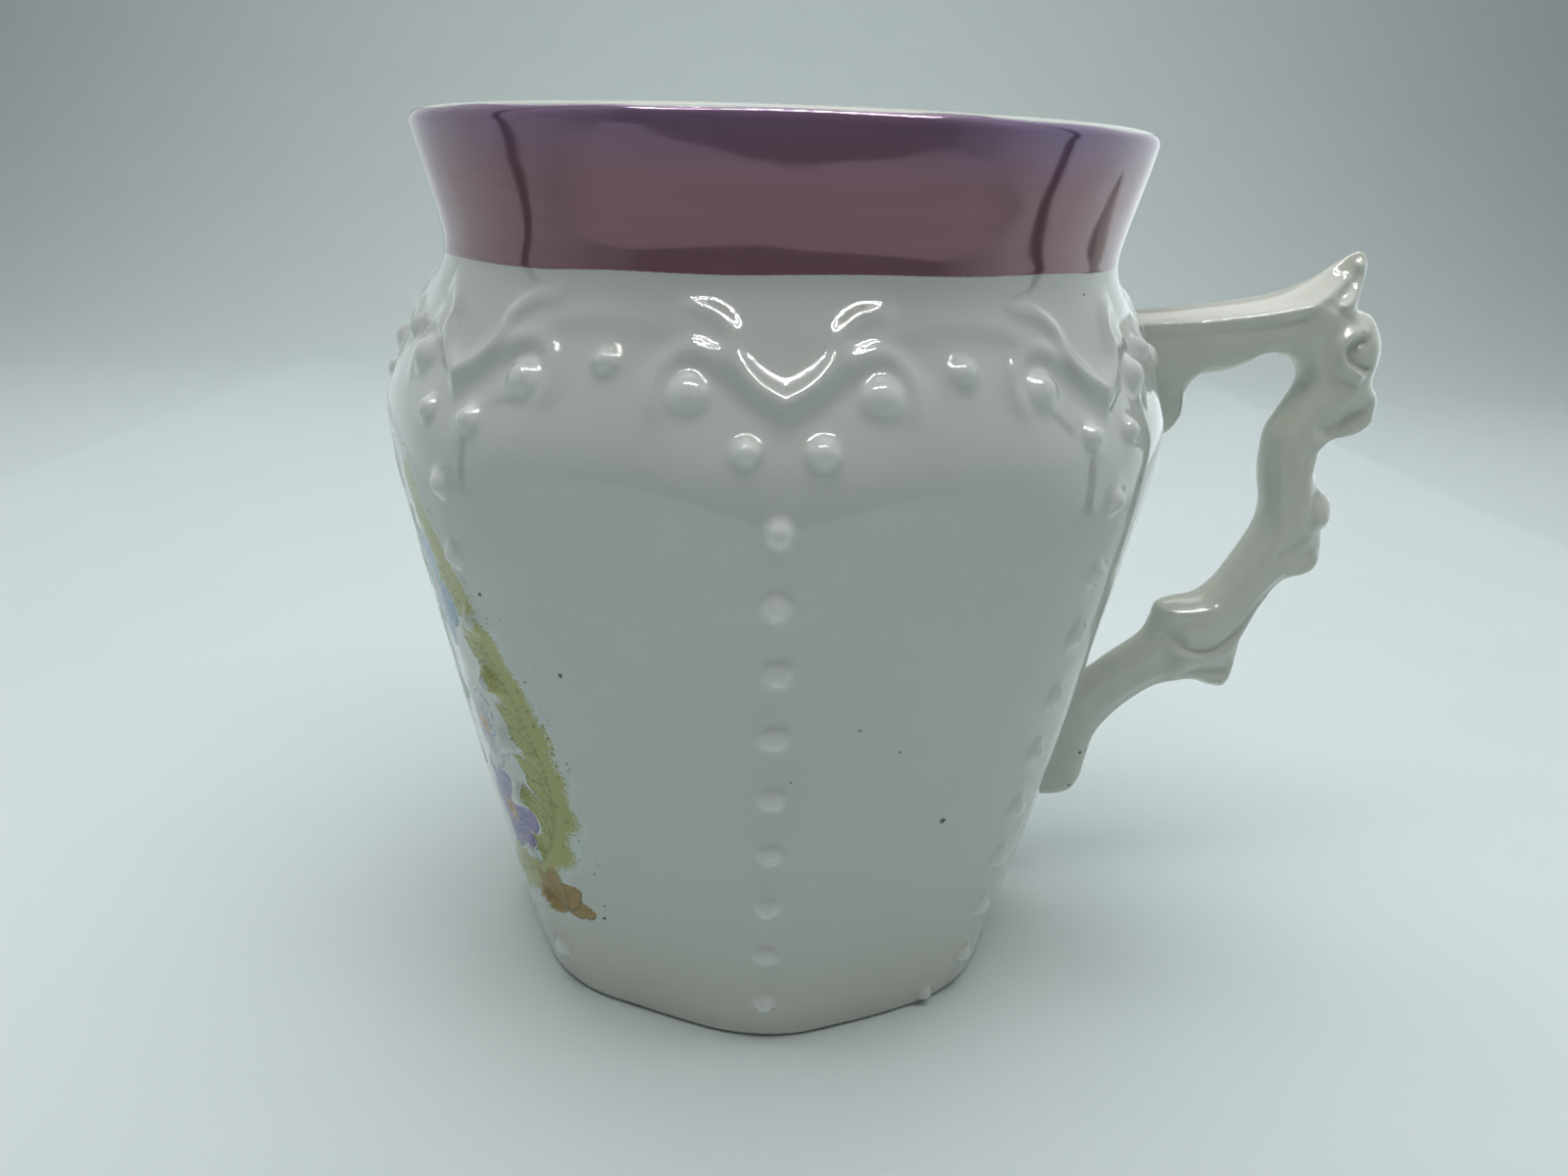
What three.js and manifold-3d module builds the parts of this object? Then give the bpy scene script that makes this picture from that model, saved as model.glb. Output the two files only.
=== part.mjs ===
// A moulded porcelain mug: a cast cup with beaded ribs and a scalloped collar, a separately
// moulded rococo handle stuck on with slip, a lustre band round the neck and a printed panel.
// Millimetres, +Z up. The origin is the centre of the foot, on the table. The handle points to +X
// and the printed panel faces -X. Azimuths run from -Y, the front of the mug, towards +X.

import * as THREE from 'three';
import { mergeVertices } from 'three/addons/utils/BufferGeometryUtils.js';
import Module from 'manifold-3d';

// Cup
const mugHeight = 90;
const lipRise = 11.8; // neck waist to rim
const shoulderRise = 16.7; // belly to neck waist
const footRadius = 29.0;
const bellyRadius = 41.5;
const neckRadius = 34.7;
const rimRadius = 37.3;
const wall = 3.0;
const lipThickness = 2.4;
const baseThickness = 4.6;
const footRound = 0.9;
const floorRound = 5.0;
const flankBulge = 0.3; // how far the flank swells beyond a straight cone
const bellyRise = 8.5; // height over which the flank turns into the belly
const latheSegments = 48;

// Below the shoulder the cup has one flat panel between each two bead rows, and a soft rib on each row
const rowCount = 8;
const ribRise = 0.6; // how far a rib stands out from a round belly
const panelSink = 0.6; // how far the middle of a panel lies inside it
const ribRound = 22.8; // the rib's own radius
const roundingDrop = 6.0; // belly down to where the section starts to turn round
const roundingRise = 9.0; // belly up to where it is round

// Moulded collar, whose lower edge hangs in one pointed scallop on each bead row
const collarStep = 0.65;
const collarRoll = 1.7; // height over which the step rises
const collarTipRise = 4.9; // belly to the tip of a scallop
const collarPeakRise = 11.6; // belly to the arch between two scallops
const collarFade = 3.0; // height over which the collar melts into the neck

// Beads
const beadRadius = 1.4;
const beadHeight = 0.8;
const beadsInRow = 9;
const rowTopDrop = 3.0; // belly down to the first bead of a row
const rowBottomHeight = 5.4;
const pairAngle = 4.3; // two beads under each scallop tip, in degrees from the row
const pairRise = 3.1;
const curlAngle = 11.4; // a larger bead in the curl at each side of a scallop
const curlRise = 7.1;
const curlRadius = 1.8;
const curlHeight = 1.0;
const archRise = 8.8; // one bead under each arch

// Handle, in the plane through the axis. Lengths out are from the belly, heights from its level.
const handleHalfWidth = 3.9;
const tailHalfWidth = 2.8;
const armHalfDepth = 3.8;
const gripHalfDepth = 3.0;
const tailHalfDepth = 2.5;
const armHeight = 7.9;
const armLength = 16.0;
const gripOut = 17.0;
const gripHeight = -5.5;
const cornerRise = 2.4; // how far the arm's outer corner lies above the arm
const elbowOut = 10.2;
const elbowHeight = -26.8;
const tailHeight = -46.0;
const rootDepth = 5.0; // how far the root runs into the wall before it is fitted to it

// Slip that sticks the handle on, and its fit between cup and handle
const slipGap = 0.3;
const slipThickness = 0.6;
const upperSlipHalfWidth = 4.9;
const upperSlipHalfHeight = 8.4;
const upperSlipDrop = 2.6; // middle of the arm down to the middle of its pad, which takes in the drop
const lowerSlipHalfWidth = 3.3;
const lowerSlipHalfHeight = 9.0;

// Fired films: the lustre band on the neck and the printed panel opposite the handle
const filmBed = 0.1;
const filmThickness = 0.2;
const bandRise = 0.9; // neck waist down to the band's lower edge
const panelHalfWidth = 29.0;
const panelCorner = 14.0;
const panelTopDrop = 1.2; // belly down to the panel's top
const panelBottomHeight = 8.5;
const beadClearance = 0.3;

const neckHeight = mugHeight - lipRise;
const bellyHeight = neckHeight - shoulderRise;
const rowAngle = 360 / rowCount;
const handleSide = 90;
const handleTurn = THREE.MathUtils.degToRad(handleSide);

const wasm = await Module();
wasm.setup();

// Solids
function toSolid(geometry) {
  const bare = geometry.clone();
  bare.deleteAttribute('normal');
  bare.deleteAttribute('uv');
  const welded = mergeVertices(bare, 1e-4);
  const corners = welded.index.array;
  const kept = [];
  for (let i = 0; i < corners.length; i += 3) {
    const [a, b, c] = corners.slice(i, i + 3);
    if (a !== b && b !== c && c !== a) kept.push(a, b, c);
  }
  const vertProperties = welded.attributes.position.array;
  const triVerts = new Uint32Array(kept);
  return new wasm.Manifold(new wasm.Mesh({ numProp: 3, vertProperties, triVerts }));
}

function toGeometry(solid) {
  const mesh = solid.getMesh();
  const geometry = new THREE.BufferGeometry();
  geometry.setAttribute('position', new THREE.BufferAttribute(mesh.vertProperties, 3));
  geometry.setIndex(new THREE.BufferAttribute(mesh.triVerts, 1));
  geometry.computeVertexNormals();
  return geometry;
}

// The cup's outside from foot to rim, as curves of (radius, height)
const point = (radius, height) => new THREE.Vector2(radius, height);
const flankTop = point(bellyRadius - 0.11 * bellyRise, bellyHeight - bellyRise);
const lipRadius = lipThickness / 2;

function cubicBetween(start, end, first, second) {
  return new THREE.CubicBezierCurve(start, first, second, end);
}

function flankCurve() {
  const start = point(footRadius + 0.2, footRound);
  const along = (share) => start.clone().lerp(flankTop, share).add(point(flankBulge, 0));
  return cubicBetween(start, flankTop, along(1 / 3), along(2 / 3));
}

function bellyCurve() {
  const end = point(bellyRadius, bellyHeight);
  const first = point(bellyRadius - 0.045 * bellyRise, bellyHeight - 0.65 * bellyRise);
  return cubicBetween(flankTop, end, first, point(bellyRadius, bellyHeight - 0.32 * bellyRise));
}

function shoulderCurve() {
  const first = point(bellyRadius - 0.3, bellyHeight + 0.3 * shoulderRise);
  const second = point(neckRadius, neckHeight - 0.3 * shoulderRise);
  return cubicBetween(point(bellyRadius, bellyHeight), point(neckRadius, neckHeight), first, second);
}

function neckCurve() {
  const end = point(rimRadius, mugHeight - lipRadius);
  const first = point(neckRadius, neckHeight + 0.35 * (lipRise - lipRadius));
  const second = point(rimRadius - 0.2, neckHeight + 0.6 * (lipRise - lipRadius));
  return cubicBetween(point(neckRadius, neckHeight), end, first, second);
}

const flankSteps = 4;
const bellySteps = 3;
const shoulderSteps = 8;
const neckSteps = 4;

const outsideLine = [
  ...flankCurve().getPoints(flankSteps),
  ...bellyCurve().getPoints(bellySteps).slice(1),
  ...shoulderCurve().getPoints(shoulderSteps).slice(1),
  ...neckCurve().getPoints(neckSteps).slice(1),
];

function outsideRadius(height) {
  for (let i = 1; i < outsideLine.length; i += 1) {
    const [low, high] = [outsideLine[i - 1], outsideLine[i]];
    if (height <= high.y) {
      return THREE.MathUtils.mapLinear(Math.max(height, low.y), low.y, high.y, low.x, high.x);
    }
  }
  return rimRadius;
}

// The share by which panels and ribs depart from a round section, at an azimuth in radians. The
// section is an eight-sided outline with rounded corners, as far out as its panels' middles at 1.
function eightSided(azimuth, height) {
  const row = THREE.MathUtils.degToRad(rowAngle);
  const half = row / 2;
  const fromRib = Math.abs(azimuth - row * Math.round(azimuth / row));
  const round = ribRound / bellyRadius;
  const middle = (1 - round) / Math.cos(half);
  const corner = Math.atan2(round * Math.sin(half), middle + round * Math.cos(half));
  const outline = fromRib < corner
    ? middle * Math.cos(fromRib) + Math.sqrt(round ** 2 - (middle * Math.sin(fromRib)) ** 2)
    : 1 / Math.cos(half - fromRib);
  const spread = (ribRise + panelSink) / (middle + round - 1);
  const depart = (spread * (outline - 1) - panelSink) / bellyRadius;
  const [low, high] = [bellyHeight - roundingDrop, bellyHeight + roundingRise];
  return 1 + depart * (1 - THREE.MathUtils.smoothstep(height, low, high));
}

function wallRadius(azimuth, height) {
  return outsideRadius(height) * eightSided(azimuth, height);
}

// The collar's relief at an azimuth in radians: it stands out above a line of pointed scallops
function collarEdge(azimuth) {
  const turn = THREE.MathUtils.radToDeg(azimuth) / rowAngle;
  const fromRow = Math.abs(turn - Math.round(turn)) * 2;
  const rise = Math.sin((fromRow * Math.PI) / 2);
  return bellyHeight + THREE.MathUtils.lerp(collarTipRise, collarPeakRise, rise);
}

function collarRelief(azimuth, height) {
  const edge = collarEdge(azimuth);
  const step = THREE.MathUtils.smoothstep(height, edge - collarRoll / 2, edge + collarRoll / 2);
  const top = neckHeight - bandRise;
  const fade = 1 - THREE.MathUtils.smoothstep(height, top - collarFade, top - filmBed);
  return collarStep * step * fade;
}

function turned(line) {
  const geometry = new THREE.LatheGeometry(line, latheSegments).rotateX(Math.PI / 2);
  const places = geometry.attributes.position;
  for (let i = 0; i < places.count; i += 1) {
    const [x, y, z] = [places.getX(i), places.getY(i), places.getZ(i)];
    const share = eightSided(Math.atan2(x, -y), z);
    places.setXYZ(i, x * share, y * share, z);
  }
  return geometry;
}

// Pushes the outside out by the collar's relief. The inside of the cup stays smooth.
function pressCollar(geometry, insideRadius) {
  const places = geometry.attributes.position;
  for (let i = 0; i < places.count; i += 1) {
    const [x, y, z] = [places.getX(i), places.getY(i), places.getZ(i)];
    const azimuth = Math.atan2(x, -y);
    const radius = Math.hypot(x, y);
    if (radius < insideRadius(z) * eightSided(azimuth, z)) continue;
    const grown = (radius + collarRelief(azimuth, z)) / radius;
    places.setXYZ(i, x * grown, y * grown, z);
  }
  return geometry;
}

// Everything inside the cup's outside, swollen by a clearance
function cupEnvelope(clearance) {
  const line = outsideLine.map((p) => point(p.x + clearance, p.y));
  const foot = [point(0, -clearance), point(line[0].x, -clearance)];
  const rim = [point(line.at(-1).x, mugHeight + clearance), point(0, mugHeight + clearance)];
  const geometry = turned([...foot, ...line, ...rim]);
  const middle = (height) => (height > 0 && height < mugHeight ? outsideRadius(height) / 2 : Infinity);
  return toSolid(pressCollar(geometry, middle));
}

// A bead is a low dome that stands square to the wall
function bead(azimuthDegrees, height, radius, dome) {
  const azimuth = THREE.MathUtils.degToRad(azimuthDegrees);
  const reach = 0.5;
  const slope = (wallRadius(azimuth, height + reach) - wallRadius(azimuth, height - reach)) / (2 * reach);
  const across = new THREE.Vector3(Math.sin(azimuth), -Math.cos(azimuth), 0);
  const outward = across.clone().setZ(-slope).normalize();
  const seatRadius = wallRadius(azimuth, height) + collarRelief(azimuth, height);
  const geometry = new THREE.SphereGeometry(1, 5, 4);
  geometry.scale(radius, dome, radius);
  const up = new THREE.Vector3(0, 1, 0);
  geometry.applyQuaternion(new THREE.Quaternion().setFromUnitVectors(up, outward));
  const seat = across.multiplyScalar(seatRadius).setZ(height);
  return geometry.translate(seat.x, seat.y, seat.z);
}

const upperRootHeight = bellyHeight + armHeight - upperSlipDrop;
const tailTop = bellyHeight + elbowHeight - 2 * tailHalfDepth;
const tailMiddle = (tailTop + bellyHeight + tailHeight) / 2;

// The handle's roots leave no room for the beads that they would sit on
function underHandle(azimuthDegrees, height, margin) {
  const fromHandle = THREE.MathUtils.degToRad(azimuthDegrees - handleSide);
  const aside = Math.abs(wallRadius(handleTurn, height) * Math.sin(fromHandle));
  const reach = margin + slipGap;
  const roots = [
    { middle: upperRootHeight, high: upperSlipHalfHeight, wide: upperSlipHalfWidth },
    { middle: tailMiddle, high: lowerSlipHalfHeight, wide: lowerSlipHalfWidth },
  ];
  return Math.cos(fromHandle) > 0 && roots.some(({ middle, high, wide }) => (
    Math.abs(height - middle) < high + reach && aside < wide + reach));
}

function beadPlaces() {
  const places = [];
  const rowTop = bellyHeight - rowTopDrop;
  const pitch = (rowTop - rowBottomHeight) / (beadsInRow - 1);
  for (let row = 0; row < rowCount; row += 1) {
    const azimuth = row * rowAngle;
    for (let i = 0; i < beadsInRow; i += 1) {
      places.push([azimuth, rowTop - i * pitch, beadRadius, beadHeight]);
    }
    for (const side of [-1, 1]) {
      places.push([azimuth + side * pairAngle, bellyHeight + pairRise, beadRadius, beadHeight]);
      places.push([azimuth + side * curlAngle, bellyHeight + curlRise, curlRadius, curlHeight]);
    }
    places.push([azimuth + rowAngle / 2, bellyHeight + archRise, beadRadius, beadHeight]);
  }
  return places.filter(([azimuth, height, radius]) => !underHandle(azimuth, height, radius));
}

// Cup: one casting of wall, base, collar and beads
function cupSolid() {
  const lipCentre = point(rimRadius - lipRadius, mugHeight - lipRadius);
  const lip = new THREE.EllipseCurve(lipCentre.x, lipCentre.y, lipRadius, lipRadius, 0, Math.PI);
  const inset = (p) => point(p.x - wall, p.y);
  const floorCorner = flankTop.clone().lerp(outsideLine[0], 0.8).x - wall;
  const floorCurve = new THREE.QuadraticBezierCurve(
    point(floorCorner, baseThickness + floorRound),
    point(floorCorner - 0.2 * floorRound, baseThickness),
    point(floorCorner - 1.2 * floorRound, baseThickness),
  );
  const inside = [
    ...neckCurve().getPoints(2).slice(0, -1).reverse().map(inset),
    ...shoulderCurve().getPoints(4).slice(0, -1).reverse().map(inset),
    ...bellyCurve().getPoints(2).slice(0, -1).reverse().map(inset),
    ...floorCurve.getPoints(2),
  ];
  const footCurve = new THREE.QuadraticBezierCurve(
    point(footRadius - footRound, 0),
    point(footRadius, 0),
    outsideLine[0],
  );
  const line = [
    point(0, 0),
    ...footCurve.getPoints(2).slice(0, -1),
    ...outsideLine,
    ...lip.getPoints(4).slice(1),
    ...inside,
    point(0, baseThickness),
  ];
  const geometry = pressCollar(turned(line), (height) => outsideRadius(height) - wall / 2);
  return beadPlaces().reduce((cup, place) => cup.add(toSolid(bead(...place))), toSolid(geometry));
}

// A limb is a bent and tapered bar in the handle's plane. Each stop is its place out from the
// belly, its height from the belly's level, its half depth in the plane and its half width.
function limb(stops, sides, steps) {
  const places = stops.map(([out, up]) => new THREE.Vector3(bellyRadius + out, 0, bellyHeight + up));
  const spine = new THREE.CatmullRomCurve3(places);
  const sizes = new THREE.CatmullRomCurve3(
    stops.map(([, , depth, width]) => new THREE.Vector3(depth, width, 0)),
  );
  const geometry = new THREE.CylinderGeometry(1, 1, 1, sides, steps);
  const corners = geometry.attributes.position;
  for (let i = 0; i < corners.count; i += 1) {
    const share = THREE.MathUtils.clamp(corners.getY(i) + 0.5, 0, 1);
    const centre = spine.getPoint(share);
    const along = spine.getTangent(share);
    const size = sizes.getPoint(share);
    const depth = corners.getX(i) * size.x;
    const width = corners.getZ(i) * size.y;
    corners.setXYZ(i, centre.x - along.z * depth, width, centre.z + along.x * depth);
  }
  return toSolid(geometry);
}

function lobe(out, up, radius, halfWidth) {
  const geometry = new THREE.SphereGeometry(1, 8, 6);
  geometry.scale(radius, halfWidth, radius);
  return toSolid(geometry.translate(bellyRadius + out, 0, bellyHeight + up));
}

// How far the wall under the handle lies from the belly's radius, at a height from the belly's level
const wallOut = (up) => wallRadius(handleTurn, bellyHeight + up) - bellyRadius;

function handleSolid() {
  const arm = armHeight;
  const wide = handleHalfWidth;
  const slim = 0.92 * handleHalfWidth;
  const grip = gripOut;
  const tail = tailHalfDepth + slipGap;
  const branch = limb([
    [wallOut(arm) - rootDepth, arm - 0.2, armHalfDepth, wide],
    [wallOut(arm) + 4.5, arm - 0.1, armHalfDepth, wide],
    [armLength - 8.5, arm + 0.6, armHalfDepth, wide],
    [armLength - 3.5, arm + cornerRise - 0.4, 0.84 * armHalfDepth, wide],
    [armLength + 0.6, arm + cornerRise - 0.6, 0.92 * armHalfDepth, wide],
    [grip + 3.2, arm - 1.3, 1.08 * armHalfDepth, wide],
    [grip + 3.2, gripHeight + 8.1, 1.02 * armHalfDepth, wide],
    [grip + 1.6, gripHeight + 4.5, 1.2 * gripHalfDepth, wide],
    [grip, gripHeight + 1.1, gripHalfDepth, slim],
    [grip + 0.5, gripHeight - 2.7, gripHalfDepth, slim],
    [grip + 1.3, gripHeight - 6.5, 1.15 * gripHalfDepth, slim],
    [grip + 0.1, gripHeight - 10.5, 1.15 * gripHalfDepth, slim],
    [elbowOut + 4.0, elbowHeight + 6.8, 0.97 * gripHalfDepth, slim],
    [elbowOut + 1.8, elbowHeight + 3.2, 0.95 * gripHalfDepth, slim],
    [elbowOut - 0.8, elbowHeight + 0.2, 1.05 * gripHalfDepth, slim],
    [elbowOut - 4.2, elbowHeight - 2.3, 1.1 * gripHalfDepth, slim],
    [elbowOut - 8.0, elbowHeight - 4.7, 1.1 * tailHalfDepth, tailHalfWidth + 0.4],
    [wallOut(elbowHeight - 8) + tail + 1.6, elbowHeight - 8.0, 1.1 * tailHalfDepth, tailHalfWidth],
    [wallOut(elbowHeight - 12) + tail + 0.4, elbowHeight - 12.2, tailHalfDepth, tailHalfWidth],
    [wallOut(tailHeight + 2.6) + tail, tailHeight + 2.6, tailHalfDepth, tailHalfWidth],
    [wallOut(tailHeight) + tail, tailHeight + 0.2, 0.75 * tailHalfDepth, 0.75 * tailHalfWidth],
    [wallOut(tailHeight) + tail - 0.2, tailHeight - 1.6, 0.3, 0.3],
  ], 8, 50);
  const spur = limb([
    [armLength + 1.2, arm + cornerRise - 1, armHalfDepth, 0.95 * wide],
    [grip + 1.4, arm + cornerRise + 2.8, 0.66 * armHalfDepth, 0.72 * wide],
    [grip + 3.0, arm + cornerRise + 5.6, 0.4 * armHalfDepth, 0.45 * wide],
    [grip + 3.9, arm + cornerRise + 7.6, 0.25, 0.25],
  ], 8, 6);
  const drop = limb([
    [wallOut(arm) + 4.2, arm - 2.0, 2.6, 0.85 * wide],
    [wallOut(arm - 5.8) + 2.4, arm - 5.8, 2.5, 0.75 * wide],
    [wallOut(arm - 8.6) + 1.6, arm - 8.6, 1.8, 0.6 * wide],
    [wallOut(arm - 10) + 1.2, arm - 10.2, 0.3, 0.3],
  ], 8, 6);
  const heel = limb([
    [elbowOut - 0.2, elbowHeight - 0.4, 3.2, 0.92 * wide],
    [elbowOut + 1.4, elbowHeight - 3.4, 2.7, 0.8 * wide],
    [elbowOut + 2.4, elbowHeight - 5.6, 1.3, 0.45 * wide],
    [elbowOut + 2.8, elbowHeight - 6.5, 0.25, 0.25],
  ], 8, 6);
  const scrolls = [
    lobe(grip + 4.5, arm + 0.2, 2.9, 0.86 * wide),
    lobe(grip + 5.1, gripHeight + 6.1, 3.0, 0.86 * wide),
    lobe(grip + 2.5, gripHeight - 5.2, 2.8, 0.82 * wide),
    lobe(grip + 2.1, gripHeight - 10.7, 2.8, 0.82 * wide),
    lobe(elbowOut - 4.5, elbowHeight + 1.8, 2.7, 0.85 * wide),
  ];
  const whole = [spur, drop, heel, ...scrolls].reduce((sum, part) => sum.add(part), branch);
  return whole.subtract(cupEnvelope(2 * slipGap + slipThickness));
}

// Slip: a pad between cup and handle, as thick as the joint and a little wider than the root
function slipSolid(height, halfHeight, halfWidth) {
  const pad = new THREE.SphereGeometry(1, 16, 10);
  pad.scale(rootDepth, halfWidth, halfHeight);
  pad.translate(wallRadius(handleTurn, height), 0, height);
  const layer = cupEnvelope(slipGap + slipThickness).subtract(cupEnvelope(slipGap));
  return layer.intersect(toSolid(pad));
}

// Films follow the wall with the same facets, a little clear of it
function filmRing(low, high) {
  const heights = outsideLine.map((p) => p.y).filter((height) => height > low && height < high);
  const levels = [low, ...heights, high];
  const reach = (extra) => (height) => point(outsideRadius(height) + extra, height);
  const outer = levels.map(reach(filmBed + filmThickness));
  const inner = levels.toReversed().map(reach(filmBed));
  return toSolid(turned([...outer, ...inner, outer[0]]));
}

function bandSolid() {
  return filmRing(neckHeight - bandRise, mugHeight - lipRadius);
}

function panelShape(top) {
  const side = panelHalfWidth - panelCorner;
  const high = top - panelCorner;
  const low = panelBottomHeight + panelCorner;
  const quarter = Math.PI / 2;
  const shape = new THREE.Shape();
  shape.absarc(side, high, panelCorner, 0, quarter);
  shape.absarc(-side, high, panelCorner, quarter, 2 * quarter);
  shape.absarc(-side, low, panelCorner, 2 * quarter, 3 * quarter);
  shape.absarc(side, low, panelCorner, 3 * quarter, 4 * quarter);
  return shape;
}

function panelSolid() {
  const top = bellyHeight - panelTopDrop;
  const cutter = new THREE.ExtrudeGeometry(panelShape(top), {
    depth: 2 * bellyRadius, bevelEnabled: false, curveSegments: 6,
  });
  cutter.rotateX(Math.PI / 2).rotateZ(Math.PI / 2);
  cutter.translate(-2 * bellyRadius, 0, 0);
  const ring = filmRing(panelBottomHeight, top);
  const printed = beadPlaces().filter(([azimuth]) => azimuth > 180);
  return printed.reduce((panel, [azimuth, height, radius, dome]) => {
    const room = bead(azimuth, height, radius + beadClearance, dome + beadClearance);
    return panel.subtract(toSolid(room));
  }, ring.intersect(toSolid(cutter)));
}

// Pieces
function piece(name, solid, color, roughness) {
  const material = new THREE.MeshStandardMaterial({ color, roughness, metalness: 0 });
  const mesh = new THREE.Mesh(toGeometry(solid), material);
  mesh.name = name;
  return mesh;
}

const mug = new THREE.Group();
mug.add(piece('cup_body', cupSolid(), 0xe4e8e5, 0.12));
mug.add(piece('handle', handleSolid(), 0xe9e7dd, 0.15));
mug.add(piece(
  'upper_handle_slip',
  slipSolid(upperRootHeight, upperSlipHalfHeight, upperSlipHalfWidth),
  0xe6e6de,
  0.2,
));
mug.add(piece(
  'lower_handle_slip',
  slipSolid(tailMiddle, lowerSlipHalfHeight, lowerSlipHalfWidth),
  0xe6e6de,
  0.2,
));
mug.add(piece('lustre_band', bandSolid(), 0xa6738f, 0.1));
mug.add(piece('printed_panel', panelSolid(), 0x9fae7a, 0.3));

export default mug;
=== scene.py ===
import bmesh
import bpy
import numpy as np
from mathutils import Matrix, Vector
from mathutils.geometry import delaunay_2d_cdt


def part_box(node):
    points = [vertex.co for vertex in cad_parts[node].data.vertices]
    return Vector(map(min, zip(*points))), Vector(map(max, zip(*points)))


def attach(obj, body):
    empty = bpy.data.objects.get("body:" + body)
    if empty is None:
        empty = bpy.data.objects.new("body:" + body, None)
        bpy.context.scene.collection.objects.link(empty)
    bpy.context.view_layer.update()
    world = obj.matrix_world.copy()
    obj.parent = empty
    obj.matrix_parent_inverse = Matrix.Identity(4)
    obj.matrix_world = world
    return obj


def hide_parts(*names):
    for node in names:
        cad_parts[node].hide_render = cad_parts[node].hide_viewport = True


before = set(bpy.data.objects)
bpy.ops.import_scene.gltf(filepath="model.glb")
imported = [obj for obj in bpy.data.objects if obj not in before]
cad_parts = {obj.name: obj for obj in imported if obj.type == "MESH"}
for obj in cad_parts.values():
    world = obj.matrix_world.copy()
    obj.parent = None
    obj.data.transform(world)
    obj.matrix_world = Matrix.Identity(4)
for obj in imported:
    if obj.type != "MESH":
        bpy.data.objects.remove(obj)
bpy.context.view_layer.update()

# Cup: one slip casting of hard porcelain. The plaster mould gives the flared neck, the scalloped
# collar, its curls and eight rows of beads, and a clear glaze softens them. The foot ring is wiped
# bare of glaze so that the cup doesn't stick to the kiln shelf. Sizes are in millimetres.
MM = 0.001
mug_height = round(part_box("cup_body")[1].z / MM, 1)
neck_height = mug_height - 11.8
belly_height = neck_height - 16.7
foot_radius = 29.0
belly_radius = 41.5
neck_radius = 34.7
rim_radius = 37.3
wall = 3.0
lip_radius = 1.2
base_thickness = 4.6
floor_round = 5.0
foot_round = 0.9
foot_ring_width = 2.4
foot_recess = 0.9
flank_bulge = 0.3
belly_rise = 8.5
row_count = 8
row_angle = 360 / row_count
rib_swell = 1.0145
panel_sink = 0.9855
rib_round = 0.55
panel_fade = (belly_height - 6, belly_height + 9)


def bezier(corners, steps):
    """Points on the curve that the corners steer, as columns of radius and height."""
    share = np.linspace(0, 1, steps + 1)[:, None]
    level = [np.array(corner, float) for corner in corners]
    while len(level) > 1:
        level = [(1 - share) * a + share * b for a, b in zip(level, level[1:])]
    return level[0]


def cup_stretches():
    """The cup's section from under the foot, up the outside, over the lip and down the inside."""
    flank_start = np.array((foot_radius + 0.2, foot_round))
    flank_top = np.array((belly_radius - 0.11 * belly_rise, belly_height - belly_rise))
    swell = np.array((flank_bulge, 0))
    inset = np.array((-wall, 0))
    belly = (belly_radius, belly_height)
    neck = (neck_radius, neck_height)
    lip_rise = mug_height - lip_radius - neck_height
    shoulder_rise = neck_height - belly_height
    ring_outer = foot_radius - foot_round
    ring_inner = ring_outer - foot_ring_width
    curves = {
        "underside": [(0, foot_recess), (ring_inner - 1.0, foot_recess)],
        "ring_inside": [(ring_inner - 1.0, foot_recess), (ring_inner - 0.1, foot_recess), (ring_inner, 0)],
        "ring": [(ring_inner, 0), (ring_outer, 0)],
        "foot": [(ring_outer, 0), (foot_radius, 0), flank_start],
        "flank": [
            flank_start,
            flank_start + (flank_top - flank_start) / 3 + swell,
            flank_start + (flank_top - flank_start) * 2 / 3 + swell,
            flank_top,
        ],
        "belly": [
            flank_top,
            (belly_radius - 0.045 * belly_rise, belly_height - 0.65 * belly_rise),
            (belly_radius, belly_height - 0.32 * belly_rise),
            belly,
        ],
        "shoulder": [
            belly,
            (belly_radius - 0.3, belly_height + 0.3 * shoulder_rise),
            (neck_radius, neck_height - 0.3 * shoulder_rise),
            neck,
        ],
        "neck": [
            neck,
            (neck_radius + 0.05, neck_height + 0.18 * lip_rise),
            (rim_radius - 0.9, neck_height + 0.62 * lip_rise),
            (rim_radius, mug_height - lip_radius),
        ],
    }
    floor_corner = flank_top[0] + 0.8 * (flank_start[0] - flank_top[0]) - wall
    lines = {name: bezier(corners, 60) for name, corners in curves.items()}
    turn = np.linspace(0, np.pi, 41)[:, None]
    lip_middle = np.array((rim_radius - lip_radius, mug_height - lip_radius))
    lines["lip"] = lip_middle + lip_radius * np.hstack((np.cos(turn), np.sin(turn)))
    lines["lip_inside"] = bezier(
        [
            (rim_radius - 2 * lip_radius, mug_height - lip_radius),
            (rim_radius - 2 * lip_radius - 0.3, neck_height + 0.6 * lip_rise),
            (neck_radius - wall, neck_height + 0.4 * lip_rise),
            (neck_radius - wall, neck_height),
        ],
        40,
    )
    lines["shoulder_inside"] = lines["shoulder"][::-1] + inset
    lines["belly_inside"] = lines["belly"][::-1] + inset
    floor_start = np.array((floor_corner, base_thickness + floor_round))
    lines["flank_inside"] = bezier([flank_top + inset, floor_start], 40)
    lines["floor_round"] = bezier(
        [
            floor_start,
            (floor_corner - 0.2 * floor_round, base_thickness),
            (floor_corner - 1.2 * floor_round, base_thickness),
        ],
        40,
    )
    lines["floor"] = bezier([(floor_corner - 1.2 * floor_round, base_thickness), (0, base_thickness)], 20)
    return lines


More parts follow.
